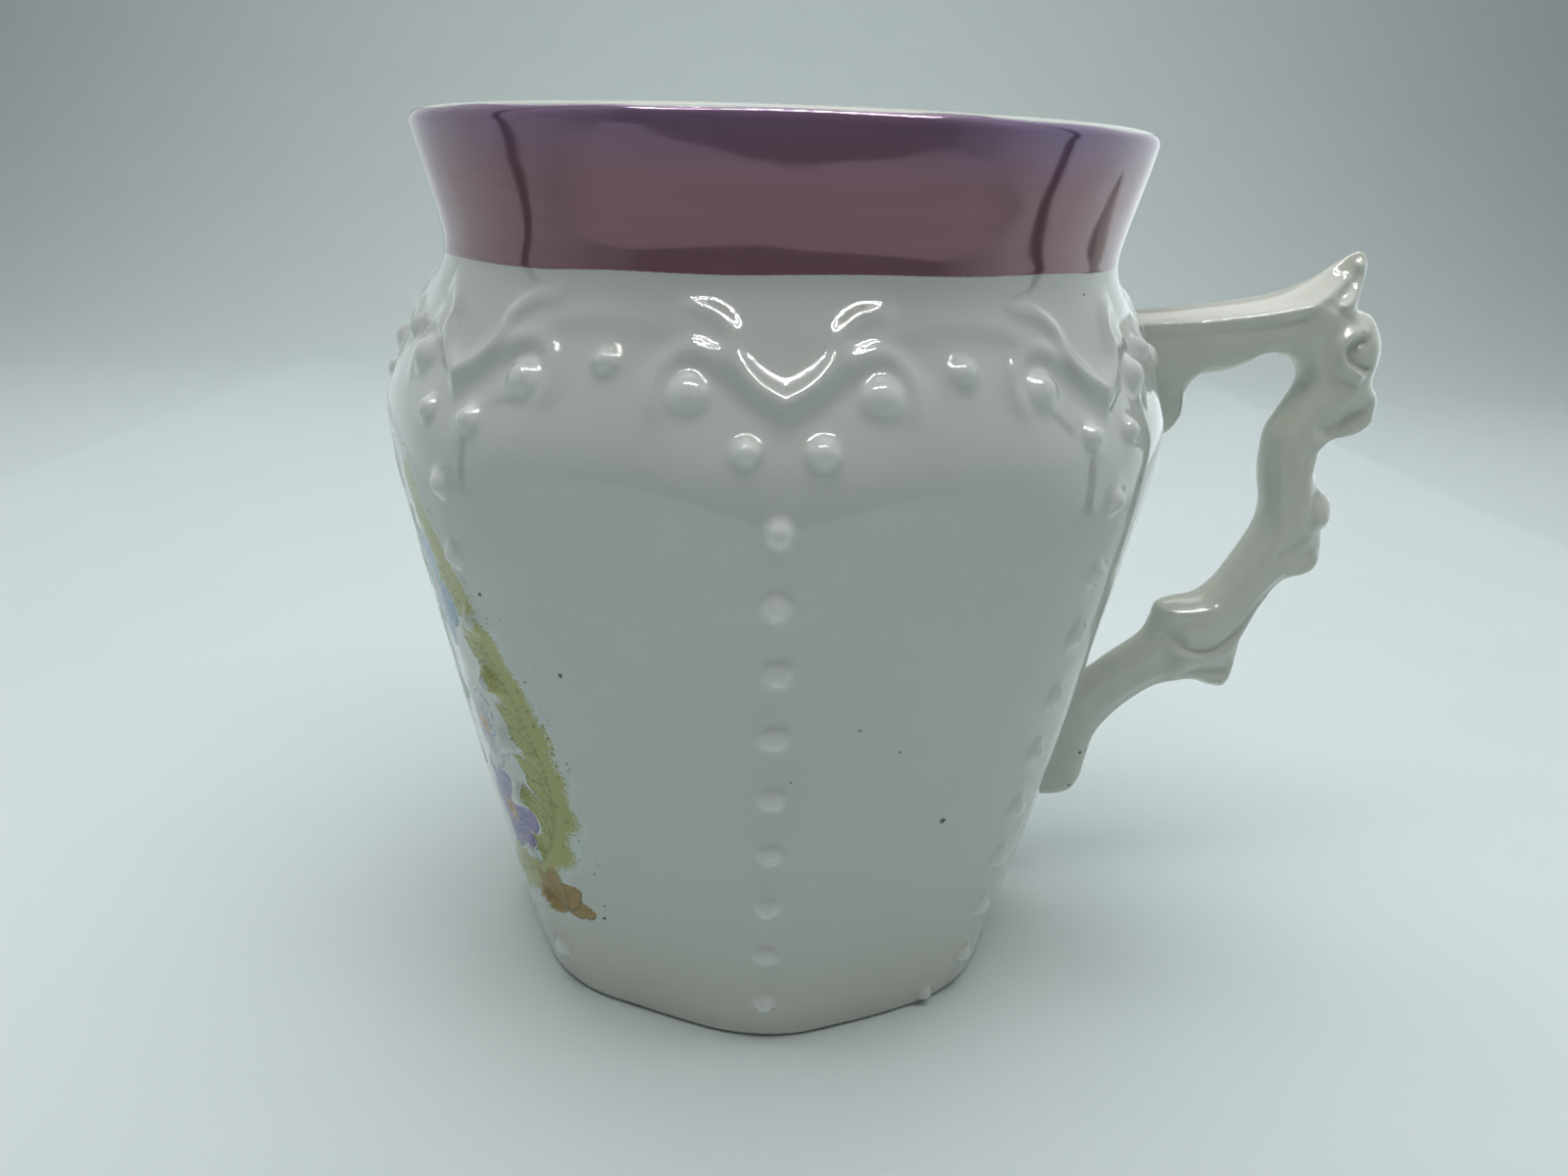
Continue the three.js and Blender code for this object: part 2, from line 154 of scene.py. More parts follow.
section_lines = cup_stretches()
section = np.vstack([line if name == "underside" else line[1:] for name, line in section_lines.items()])
section_run = np.concatenate(([0], np.cumsum(np.hypot(*np.diff(section, axis=0).T))))
stretch_end = {}
for name, line in section_lines.items():
    stretch_end[name] = section_run[np.argmin(np.hypot(*(section - line[-1]).T))]
outside = (section_run >= stretch_end["foot"]) & (section_run <= stretch_end["neck"])


def run_at(height):
    """How far along the section the outside wall reaches a height."""
    return np.interp(height, section[outside, 1], section_run[outside])


def section_at(run):
    """The plain section's radius and height at a run along it."""
    return np.interp(run, section_run, section[:, 0]), np.interp(run, section_run, section[:, 1])


def turned(azimuth, centre):
    """Azimuth from a centre, the short way round."""
    return (azimuth - centre + 180) % 360 - 180


def beside_row(azimuth):
    """Degrees from the nearest bead row."""
    return np.abs(turned(azimuth * row_count, 0)) / row_count


def smooth_step(value, low, high):
    share = np.clip((value - low) / (high - low), 0, 1)
    return share * share * (3 - 2 * share)


def eight_sided(azimuth, height):
    """The share by which the cup's eight flat panels and soft ribs depart from a round section."""
    half = np.radians(row_angle / 2)
    from_rib = np.radians(beside_row(azimuth))
    centre = (1 - rib_round) / np.cos(half)
    rounded = centre * np.cos(from_rib) + np.sqrt(
        np.maximum(rib_round**2 - (centre * np.sin(from_rib)) ** 2, 0)
    )
    flat = 1 / np.cos(half - from_rib)
    edge = np.arctan2(rib_round * np.sin(half), centre + rib_round * np.cos(half))
    outline = np.where(from_rib < edge, rounded, flat)
    spread = (rib_swell - panel_sink) / (centre + rib_round - 1)
    share = panel_sink + spread * (outline - 1)
    return 1 + (share - 1) * (1 - smooth_step(height, *panel_fade))


def wall_radius(height):
    return np.interp(height, section[outside, 1], section[outside, 0])


# Beads and curls, as azimuth from the front towards the handle, height, radius and dome height
bead_radius = 1.4
bead_dome = 1.0
beads_in_row = 9
row_top = belly_height - 3.0
row_bottom = 5.4
pair_angle = 4.3
pair_rise = 3.1
curl_angle = 11.4
curl_rise = 7.1
curl_radius = 2.0
curl_dome = 1.2
arch_rise = 8.8
azimuth_scatter = 0.12
height_scatter = 0.08
radius_scatter = 0.03
dome_scatter = 0.05
handle_side = 90
# Where the handle's two roots cover the wall: lowest and highest place, and half width
root_places = [(56, 76, 6.5), (12, 33, 4.5)]
chance = np.random.default_rng(8)


def row_beads():
    """One row's beads, with the pair under its scallop, the curl beads and the bead under an arch."""
    beads = [(0, height, bead_radius, bead_dome) for height in np.linspace(row_top, row_bottom, beads_in_row)]
    for side in (-1, 1):
        beads.append((side * pair_angle, belly_height + pair_rise, bead_radius, bead_dome))
        beads.append((side * curl_angle, belly_height + curl_rise, curl_radius, curl_dome))
    beads.append((row_angle / 2, belly_height + arch_rise, bead_radius, bead_dome))
    return beads


def under_handle(azimuth, height):
    """Whether a bead would lie under one of the handle's two roots."""
    aside = abs(wall_radius(height) * np.radians(azimuth - handle_side))
    return any(low < height < high and aside < half for low, high, half in root_places)


beads = []
curls = []
for row in range(row_count):
    for azimuth, height, radius, dome in row_beads():
        azimuth += row * row_angle
        if under_handle(azimuth, height):
            continue
        azimuth += chance.normal(0, azimuth_scatter)
        height += chance.normal(0, height_scatter)
        radius *= chance.normal(1, radius_scatter)
        dome *= chance.normal(1, dome_scatter)
        beads.append((azimuth, height, radius, dome))
    for side in (-1, 1):
        if not under_handle(row * row_angle + side * curl_angle, belly_height + curl_rise):
            curls.append((row * row_angle + side * curl_angle, side))

collar_step = 0.55
collar_rim = 0.15
collar_rim_inset = 1.2
collar_roll = 2.2
collar_softened = 0.6
collar_soft_angles = (5, 16)
collar_tip = belly_height + 4.9
collar_peak = belly_height + 11.6
collar_top = neck_height - 1.2
collar_fade = 4.0
curl_ridge = 0.45
curl_reach = 2.8
curl_half_width = 0.9
curl_start = (-70, -10)
curl_end = (120, 170)
# A scroll rises from each side of the collar's tip and rolls outwards, in mm beside and above the tip
scroll_line = [(0.0, 1.5), (2.3, 2.7), (3.9, 4.7), (4.3, 6.5), (5.8, 8.0), (8.4, 8.5)]
scroll_half_width = 0.85
scroll_rise = 0.55
scroll_span = 11
scroll_hollow = 0.2
hollow_height = 4.6
hollow_half_width = 2.2
hollow_half_height = 1.7
bead_core = 0.8
bead_squareness = 2.8
glaze_tear = (36.3, 1.6, 1.0, 0.8)
beads.append(glaze_tear)


def through(stops, steps):
    """A smooth curve through the stops, in every column."""
    stops = np.array(stops, float)
    padded = np.vstack((2 * stops[0] - stops[1], stops, 2 * stops[-1] - stops[-2]))
    share = np.linspace(0, len(stops) - 1, steps * (len(stops) - 1) + 1)
    first = np.minimum(share.astype(int), len(stops) - 2)
    t = (share - first)[:, None]
    a, b, c, d = (padded[first + i] for i in range(4))
    return 0.5 * (2 * b + (c - a) * t + (2 * a - 5 * b + 4 * c - d) * t**2 + (3 * b - a - 3 * c + d) * t**3)


def from_line(points, line):
    """Each point's distance from a line of many short pieces, and the nearest piece's number."""
    nearest = np.full(len(points), np.inf)
    number = np.zeros(len(points), int)
    for i, (start, end) in enumerate(zip(line[:-1], line[1:])):
        along = end - start
        share = np.clip((points - start) @ along / max(along @ along, 1e-12), 0, 1)
        away = np.hypot(*(points - start - share[:, None] * along).T)
        number[away < nearest] = i
        nearest = np.minimum(nearest, away)
    return nearest, number


def collar_edge(azimuth):
    share = beside_row(azimuth) / (row_angle / 2)
    return collar_tip + (collar_peak - collar_tip) * np.sin(share * np.pi / 2)


def above_collar_edge(azimuth, height):
    """Distance above the collar's edge, square to it."""
    step = 0.2
    climb = collar_edge(azimuth + step) - collar_edge(azimuth - step)
    slope = climb / np.radians(2 * step) / wall_radius(height)
    return (height - collar_edge(azimuth)) / np.sqrt(1 + slope**2)


def bead_rise(azimuth, run):
    """How far the beads alone stand out."""
    radius, _ = section_at(run)
    raised = np.zeros(len(azimuth))
    for middle, level, size, dome in beads:
        across = np.radians(turned(azimuth, middle)) * radius
        reach = np.hypot(across, run - run_at(level)) / size
        raised += dome * np.exp(-((reach / bead_core) ** bead_squareness))
    return raised


def relief(azimuth, run):
    """How far the moulded ornament stands out from the plain wall."""
    radius, height = section_at(run)
    above = above_collar_edge(azimuth, height)
    fade = 1 - smooth_step(height, collar_top - collar_fade, collar_top)
    from_row = beside_row(azimuth)
    fade *= 1 - collar_softened * smooth_step(from_row, *collar_soft_angles)
    raised = collar_step * smooth_step(above, -collar_roll / 2, collar_roll / 2) * fade
    raised += collar_rim * np.exp(-((above - collar_rim_inset) ** 2)) * fade
    beside = from_row * np.radians(radius)
    near = np.flatnonzero((height > belly_height) & (height < neck_height) & (beside < scroll_span))
    places = np.stack((beside, height - collar_tip), axis=1)[near]
    away, _ = from_line(places, through(scroll_line, 5))
    fullness = 1 - 0.8 * (places[:, 0] / scroll_line[-1][0]) ** 4
    raised[near] += scroll_rise * np.exp(-((away / scroll_half_width) ** 2)) * np.clip(fullness, 0, 1)
    hollow = (places - (0, hollow_height)) / (hollow_half_width, hollow_half_height)
    raised[near] -= scroll_hollow * np.exp(-(hollow**2).sum(axis=1))
    for middle, side in curls:
        across = side * np.radians(turned(azimuth, middle)) * radius
        up = height - belly_height - curl_rise
        bearing = np.degrees(np.arctan2(up, across))
        ridge = np.exp(-(((np.hypot(across, up) - curl_reach) / curl_half_width) ** 2))
        sweep = smooth_step(bearing, *curl_start) * (1 - smooth_step(bearing, *curl_end))
        raised += curl_ridge * ridge * sweep
    raised += bead_rise(azimuth, run)
    # A real casting is never quite true: it warps a little in the fire.
    turn = np.radians(azimuth)
    warp = 0.08 * np.sin(2 * turn + 0.7) + 0.05 * np.sin(5 * turn + height / 11)
    warp += 0.04 * np.sin(13 * turn - height / 6 + 2) * np.sin(height / 4 + 3 * turn)
    raised += warp * (1 - smooth_step(run, stretch_end["neck"] - 3, stretch_end["neck"]))
    on_outside = (run > stretch_end["foot"] - 1.0) & (run < stretch_end["lip"])
    return np.where(on_outside, raised, 0)


def on_wall(azimuth, run, lift):
    """Points on the cup's surface, in metres, lifted square to its section."""
    step = 0.05
    radius, height = section_at(run)
    along_out, along_up = np.subtract(section_at(run + step), section_at(run - step))
    length = np.maximum(np.hypot(along_out, along_up), 1e-9)
    out = radius * eight_sided(azimuth, height) + lift * along_up / length
    up = height - lift * along_out / length
    turn = np.radians(azimuth)
    return MM * np.stack((out * np.sin(turn), -out * np.cos(turn), up), axis=1)


def finer_faces(flat, near, passes):
    """Splits the faces of a flat grid that lie near an ornament, once for each distance in passes."""
    for reach in passes:
        chosen = set()
        for face in flat.faces:
            middle = face.calc_center_median()
            if near(middle.x, middle.y) < reach:
                chosen.update(face.edges)
        bmesh.ops.subdivide_edges(flat, edges=list(chosen), cuts=1, use_grid_fill=True)
    bmesh.ops.triangulate(flat, faces=[face for face in flat.faces if len(face.verts) > 4])


def cup_panel():
    """One eighth of the cup's surface, laid flat as azimuth by run, finest where beads and scallops are."""
    faces_along = {
        "underside": 6, "ring_inside": 4, "ring": 3, "foot": 4, "flank": 42, "belly": 7, "shoulder": 15,
        "neck": 9, "lip": 8, "lip_inside": 6, "shoulder_inside": 9, "belly_inside": 4, "flank_inside": 16,
        "floor_round": 8, "floor": 8,
    }
    faces_across = 24
    rows = [0.0]
    for name, count in faces_along.items():
        rows.extend(np.linspace(rows[-1], stretch_end[name], count + 1)[1:])
    columns = np.linspace(-row_angle / 2, row_angle / 2, faces_across + 1)
    flat = bmesh.new()
    grid = [[flat.verts.new((azimuth, run, 0)) for azimuth in columns] for run in rows]
    for below, above in zip(grid, grid[1:]):
        for i in range(faces_across):
            flat.faces.new((below[i], below[i + 1], above[i + 1], above[i]))
    tear = (glaze_tear[0] - row_angle,) + glaze_tear[1:]
    marks = []
    for azimuth, height, size, _ in row_beads() + [tear]:
        for side in (-1, 1):
            marks.append((side * azimuth, run_at(height), wall_radius(height), size))
    marks = np.array(marks)
    scroll_path = through(scroll_line, 2)

    def near_bead(azimuth, run):
        across = np.radians(azimuth - marks[:, 0]) * marks[:, 2]
        return (np.hypot(across, run - marks[:, 1]) - marks[:, 3]).min()

    def near_ornament(azimuth, run):
        _, height = section_at(run)
        if run > stretch_end["neck"] or height < belly_height:
            return near_bead(azimuth, run)
        edge = abs(above_collar_edge(np.array(azimuth), height) - 0.4) - 0.6
        curl = np.inf
        for side in (-1, 1):
            across = np.radians(azimuth - side * curl_angle) * wall_radius(height)
            curl = min(curl, abs(np.hypot(across, height - belly_height - curl_rise) - curl_reach) - 0.5)
        place = np.array([(abs(np.radians(azimuth)) * wall_radius(height), height - collar_tip)])
        scroll = from_line(place, scroll_path)[0][0] - scroll_half_width
        return min(near_bead(azimuth, run), edge, curl, scroll)

    finer_faces(flat, near_ornament, (1.0, 0.35))
    finer_faces(flat, near_bead, (0.15,))
    flat.verts.index_update()
    places = np.array([vert.co[:2] for vert in flat.verts])
    faces = [[vert.index for vert in face.verts] for face in flat.faces]
    flat.free()
    return places, faces


def new_piece(name, points, faces, corner_maps=None):
    """A smooth-shaded object from points in metres, with the map that textures are baked through."""
    mesh = bpy.data.meshes.new(name)
    mesh.from_pydata(points.tolist(), [], faces)
    mesh.polygons.foreach_set("use_smooth", [True] * len(mesh.polygons))
    if corner_maps is not None:
        mesh.uv_layers.new(name="OFBake").data.foreach_set("uv", np.asarray(corner_maps, np.float32).ravel())
    mesh.update()
    piece = bpy.data.objects.new(name, mesh)
    bpy.context.collection.objects.link(piece)
    return piece


# How much whiter the beads are painted, a painted highlight for the light their tops catch, and the rise over
# which it comes in
bead_highlight_share = 0.55
bead_highlight_rise = (0.02, 0.6)


def cup_mesh():
    places, faces = cup_panel()
    azimuths = np.concatenate([places[:, 0] + row * row_angle for row in range(row_count)])
    runs = np.tile(places[:, 1], row_count)
    points = on_wall(azimuths, runs, relief(azimuths, runs))
    _, first, shared = np.unique(np.round(points / MM, 3), axis=0, return_index=True, return_inverse=True)
    shared = shared.ravel()
    spread = np.stack((azimuths / 360 + 0.5 / row_count, runs / section_run[-1]), axis=1)
    joined = []
    maps = []
    for row in range(row_count):
        for face in faces:
            corners = [corner + row * len(places) for corner in face]
            kept = [c for i, c in enumerate(corners) if shared[c] != shared[corners[i - 1]]]
            if len(kept) > 2:
                joined.append([int(shared[c]) for c in kept])
                maps.extend(spread[kept])
    made = new_piece("cup", points[first], joined, maps)
    # Painted highlight: each point's share of whiter colour where the beads stand out, for the light they
    # catch
    bead_highlight = made.data.attributes.new("painted_bead_highlight", "FLOAT", "POINT")
    whiter = bead_highlight_share * smooth_step(bead_rise(azimuths, runs), *bead_highlight_rise)
    bead_highlight.data.foreach_set("value", whiter[first])
    return made


def linear(hex_colour):
    """An sRGB hex colour as linear light."""
    parts = [int(hex_colour[i : i + 2], 16) / 255 for i in (1, 3, 5)]
    return tuple(((p + 0.055) / 1.055) ** 2.4 if p > 0.04045 else p / 12.92 for p in parts) + (1,)


def fill_sockets(node, inputs):
    """Gives a node's inputs their values, or links them to other nodes' outputs."""
    for socket, value in inputs.items():
        if isinstance(value, bpy.types.NodeSocket):
            node.id_data.links.new(value, node.inputs[socket])
        else:
            node.inputs[socket].default_value = value


def add_node(tree, kind, inputs, output=None, **settings):
    """Adds a node with its settings and links. Gives the output asked for, or the first in use."""
    made = tree.nodes.new("ShaderNode" + kind)
    for name, value in settings.items():
        setattr(made, name, value)
    fill_sockets(made, inputs)
    return made.outputs[output] if output else next(out for out in made.outputs if out.enabled)


def per_mm(size):
    """The texture scale that gives features of a size in millimetres, in object coordinates."""
    return 1 / (size * MM)


def new_material(name):
    material = bpy.data.materials.new(name)
    material.use_nodes = True
    tree = material.node_tree
    shader = tree.nodes["Principled BSDF"]
    place = add_node(tree, "TexCoord", {}, output="Object")
    return material, tree, shader, place


glaze_ior = 1.52
speck_wander = 0.35


# Glazed porcelain: cool white paste under a thick clear glaze. It is glossy, lets a little light in,
# warms where the glaze pools at the foot, and carries a few iron specks. Over the beads the colour is
# painted whiter, a painted highlight for the light their tops catch. The wiped foot is matt biscuit.
def glazed_porcelain(name, pale, shaded, warm, warm_top, specks):
    material, tree, shader, place = new_material(name)
    height = add_node(tree, "SeparateXYZ", {"Vector": place}, output="Z")
    cloud = add_node(tree, "TexNoise", {"Vector": place, "Scale": per_mm(22), "Detail": 3})
    tints = {"A": linear(pale), "B": linear(shaded)}
    colour = add_node(tree, "Mix", {"Factor": cloud, **tints}, data_type="RGBA")
    pooled = add_node(
        tree, "MapRange",
        {"Value": height, "From Min": warm_top * MM, "From Max": 0, "To Min": 0, "To Max": 0.7},
        interpolation_type="SMOOTHSTEP",
    )
    colour = add_node(tree, "Mix", {"Factor": pooled, "A": colour, "B": linear(warm)}, data_type="RGBA")
    # Painted highlight: the colour is mixed towards white where the beads stand out
    bead_highlight = add_node(tree, "Attribute", {}, output="Fac", attribute_name="painted_bead_highlight")
    colour = add_node(tree, "Mix", {"Factor": bead_highlight, "A": colour, "B": linear("#EEF3F0")}, data_type="RGBA")
    ragged = add_node(
        tree, "TexNoise", {"Vector": place, "Scale": per_mm(0.5), "Detail": 2}, output="Color"
    )
    shifted = add_node(
        tree, "VectorMath", {0: ragged, 1: (speck_wander * MM,) * 3, 2: place}, operation="MULTIPLY_ADD"
    )
    iron = linear("#3A3632")
    for point, size in specks:
        centre = tuple(MM * (value + speck_wander / 2) for value in point)
        away = add_node(tree, "VectorMath", {0: shifted, 1: centre}, operation="DISTANCE")
        edge = {"From Min": 0.8 * size * MM, "From Max": 1.2 * size * MM}
        spot = add_node(tree, "MapRange", {"Value": away, **edge, "To Min": 0.92, "To Max": 0})
        colour = add_node(tree, "Mix", {"Factor": spot, "A": colour, "B": iron}, data_type="RGBA")
    bare = add_node(
        tree, "MapRange",
        {"Value": height, "From Min": 0.10 * MM, "From Max": 0.28 * MM, "To Min": 1, "To Max": 0},
    )
    grit = add_node(tree, "TexNoise", {"Vector": place, "Scale": per_mm(0.5), "Detail": 5})
    biscuit = add_node(
        tree, "Mix", {"Factor": grit, "A": linear("#D9D3C6"), "B": linear("#B9B09F")}, data_type="RGBA"
    )
    colour = add_node(tree, "Mix", {"Factor": bare, "A": colour, "B": biscuit}, data_type="RGBA")
    gloss = add_node(tree, "TexNoise", {"Vector": place, "Scale": per_mm(7), "Detail": 2})
    glazed = add_node(tree, "MapRange", {"Value": gloss, "To Min": 0.02, "To Max": 0.06})
    rough = add_node(tree, "Mix", {"Factor": bare, "A": glazed, "B": 0.7}, data_type="FLOAT")
    peel = add_node(tree, "TexNoise", {"Vector": place, "Scale": per_mm(8), "Detail": 1.5})
    ripple = add_node(tree, "Bump", {"Height": peel, "Strength": 0.25, "Distance": 0.25 * MM})
    grain = add_node(tree, "Math", {0: grit, 1: bare}, operation="MULTIPLY")
    skin = add_node(
        tree, "Bump", {"Height": grain, "Strength": 0.4, "Distance": 0.1 * MM, "Normal": ripple}
    )
    fill_sockets(shader, {
        "Base Color": colour, "Roughness": rough, "Normal": skin, "IOR": glaze_ior,
        "Subsurface Weight": 0.18, "Subsurface Radius": (1.0, 0.9, 0.7), "Subsurface Scale": 1.6 * MM,
    })
    return material


# Specks in the glaze: azimuth, height and radius
speck_places = [
    (-30.4, 42.0, 0.22), (28.9, 26.6, 0.30), (11.6, 39.2, 0.13), (18.3, 36.0, 0.12), (2.6, 34.0, 0.10),
    (49.4, 75.8, 0.20), (160.0, 31.0, 0.22), (214.0, 49.0, 0.16), (128.0, 18.0, 0.14),
]
cup_specks = []
for azimuth, height, size in speck_places:
    spot = on_wall(np.array([azimuth]), np.array([run_at(height)]), np.zeros(1))[0] / MM
    cup_specks.append((tuple(spot), size))

cup = cup_mesh()
cup.data.materials.append(
    glazed_porcelain("clear_glazed_porcelain", "#D6DBD5", "#CED4CE", "#D9D6C8", 26, cup_specks)
)
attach(cup, "root")
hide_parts("cup_body")

# Handle: pressed from stiffer porcelain in a two-part mould whose halves meet in the handle's plane, as a
# branch with scroll lobes, an upswept spur, a drop under the arm and a heel below the elbow. It is stuck
# on before glazing. Places are lengths out from the cup's axis and heights.
arm_height = belly_height + 7.9
tail_height = belly_height - 46.0
handle_edge = [
    (36.5, 72.4), (42.5, 73.0), (48.4, 73.8), (53.2, 74.7), (57.1, 76.3), (60.0, 78.3), (61.9, 79.4),
    (63.0, 78.8), (63.1, 77.0), (62.5, 74.4), (62.7, 73.4), (64.4, 72.7), (65.8, 70.2), (65.9, 67.8),
    (65.6, 65.6), (66.5, 64.2), (66.6, 62.4), (66.0, 60.7), (64.4, 59.5), (62.0, 58.9), (61.1, 57.8),
    (61.0, 55.7), (61.8, 53.8), (63.4, 52.3), (63.8, 50.3), (63.3, 48.5), (63.4, 45.7), (62.8, 43.8),
    (61.3, 42.9), (59.6, 42.3), (57.7, 40.0), (56.1, 36.1), (55.7, 33.1), (55.4, 30.1), (54.5, 28.7),
    (52.9, 28.8), (50.8, 29.4), (48.0, 29.0), (45.4, 27.7), (42.5, 25.2), (40.2, 22.1), (39.4, 18.9),
    (38.9, 16.0), (37.9, 14.2), (36.0, 13.5), (33.4, 13.4), (31.6, 14.4), (32.4, 18.0), (33.6, 23.0),
    (35.0, 28.4), (38.4, 30.4), (40.3, 32.0), (42.3, 33.5), (44.2, 35.2), (45.0, 37.0), (45.6, 38.9),
    (47.4, 39.7), (50.0, 40.2), (52.1, 42.1), (53.8, 44.9), (55.5, 48.3), (56.0, 51.0), (55.3, 54.5),
    (55.1, 57.2), (55.3, 59.8), (56.3, 62.0), (57.5, 64.2), (57.9, 65.8), (57.0, 67.4), (55.2, 68.2),
    (53.0, 68.1), (51.2, 67.1), (48.8, 66.2), (46.3, 65.7), (45.3, 64.2), (45.2, 61.6), (44.1, 59.6),
    (42.4, 58.7), (40.6, 59.4), (39.4, 63.0), (38.2, 67.5), (36.6, 70.8),
]
# The branch's middle, with its half width
handle_branch = [
    (37.0, 69.3, 3.8), (45.0, 69.4, 3.8), (52.0, 70.8, 3.8), (57.0, 71.4, 3.7), (60.2, 69.0, 3.7),
    (60.6, 65.5, 3.7), (59.3, 61.5, 3.6), (58.2, 58.0, 3.5), (58.1, 54.5, 3.4), (58.9, 51.0, 3.5),
    (58.8, 47.5, 3.5), (57.1, 43.8, 3.4), (54.8, 40.2, 3.3), (52.2, 36.9, 3.4), (49.3, 34.3, 3.3),
    (45.5, 31.4, 3.0), (41.5, 28.0, 2.7), (38.5, 24.0, 2.6), (37.2, 19.5, 2.5), (36.2, 15.5, 2.4),
]
# Modelling tool strokes on each side: points, half width, and how far they raise the surface
handle_strokes = [
    ([(39.3, 71.4), (46.3, 72.0), (52.7, 72.9), (55.9, 73.6), (58.5, 74.8), (60.3, 76.1), (61.8, 77.8)],
     0.55, 0.45),
    ([(39.3, 70.1), (46.3, 70.6), (52.7, 71.5), (56.8, 72.4)], 0.9, -0.2),
    ([(62.3, 78.2), (62.3, 76.9), (61.9, 75.4), (61.2, 74.4), (60.3, 73.9)], 0.5, 0.4),
    ([(59.8, 75.0), (61.0, 76.3), (61.6, 77.2)], 0.8, -0.5),
    ([(62.4, 71.4), (61.0, 70.9), (60.2, 69.5), (60.8, 67.9), (62.8, 66.6)], 0.6, 0.75),
    ([(62.7, 70.3), (61.7, 69.9), (61.4, 69.0), (62.0, 68.1), (63.6, 67.5)], 0.5, -0.55),
    ([(63.9, 69.2), (63.8, 69.4)], 1.3, 0.35),
    ([(60.2, 72.4), (59.0, 70.5), (59.0, 68.0), (60.3, 66.0)], 0.9, -0.3),
    ([(60.6, 58.9), (62.2, 59.7), (64.4, 60.4), (65.7, 61.5)], 0.55, 0.5),
    ([(60.5, 60.8), (62.4, 61.8), (64.4, 62.8)], 1.1, -0.7),
    ([(60.2, 63.6), (62.5, 64.5), (65.0, 64.8)], 0.8, 0.3),
    ([(60.4, 57.1), (59.6, 55.0), (59.6, 52.8), (60.3, 50.8)], 0.6, 0.3),
    ([(62.0, 50.7), (62.1, 50.5)], 1.4, 0.45),
    ([(60.9, 53.0), (60.7, 50.6), (61.3, 49.1), (62.8, 48.5)], 0.5, -0.45),
    ([(62.8, 48.2), (59.9, 47.8), (57.6, 45.9)], 0.6, -0.35),
    ([(59.4, 43.6), (61.6, 44.2), (62.5, 45.4)], 0.5, 0.45),
    ([(59.3, 46.0), (61.0, 46.2), (62.2, 46.6)], 0.8, -0.4),
    ([(59.0, 43.2), (57.2, 41.2), (55.4, 37.9), (53.4, 35.4), (51.2, 34.1), (48.9, 34.3), (47.5, 35.5)],
     0.5, -0.5),
    ([(57.7, 40.4), (56.0, 37.2), (54.0, 34.4), (51.3, 32.9), (48.2, 33.2)], 0.5, 0.35),
    ([(46.5, 37.2), (46.8, 37.0)], 1.5, 0.5),
    ([(46.9, 38.4), (49.4, 38.6), (51.6, 39.2)], 0.5, 0.35),
    ([(39.8, 23.5), (43.2, 27.3), (47.0, 29.9), (50.4, 31.3), (54.0, 31.6)], 0.6, -0.35),
    ([(52.6, 29.7), (54.2, 30.0), (54.8, 32.0)], 0.5, 0.35),
]


def rounded(depth, reach):
    """The share of the full half width at a depth inside an edge that is rounded over a reach."""
    return (1 - (1 - np.clip(depth / reach, 0, 1)) ** 2.2) ** (1 / 2.2)


handle_line = through(handle_edge + handle_edge[:1], 8)
branch_line = through(handle_branch, 6)
edge_reach = 2.3
stroke_edge_reach = 0.9
spine_rise = 0.5
spine_half_width = 2.7
# Where the handle gets thinner: away from the branch, up the spur, and in the drop under the arm
lobe_places = (2.5, 7)
spur_heights = (73.2, 79.4)
drop_heights = (63.4, 66.4)
drop_places = (46, 49)
lobe_thinning = 0.14
spur_thinning = 0.7
drop_thinning = 0.26


def handle_half_width(points):
    """Half the handle's thickness at places in its plane."""
    depth, _ = from_line(points, handle_line)
    from_branch, nearest = from_line(points, branch_line[:, :2])
    out, up = points.T
    in_drop = (1 - smooth_step(up, *drop_heights)) * (1 - smooth_step(out, *drop_places))
    width = branch_line[nearest, 2] * (1 - lobe_thinning * smooth_step(from_branch, *lobe_places))
    width *= 1 - spur_thinning * smooth_step(up, *spur_heights)
    width *= 1 - drop_thinning * in_drop
    spine = np.sqrt(np.maximum(1 - (from_branch / spine_half_width) ** 2, 0))
    half = (width - spine_rise) * rounded(depth, edge_reach)
    half += spine_rise * spine * rounded(depth, edge_reach)
    for stops, reach, rise in handle_strokes:
        away, _ = from_line(points, through(stops, 5))
        half += rise * np.exp(-((away / reach) ** 2)) * rounded(depth, stroke_edge_reach)
    half += 0.06 * np.sin(1.3 * out + 0.6 * up) * np.sin(0.8 * up - 0.5 * out) * rounded(depth, 1.5)
    return np.maximum(half, 0)


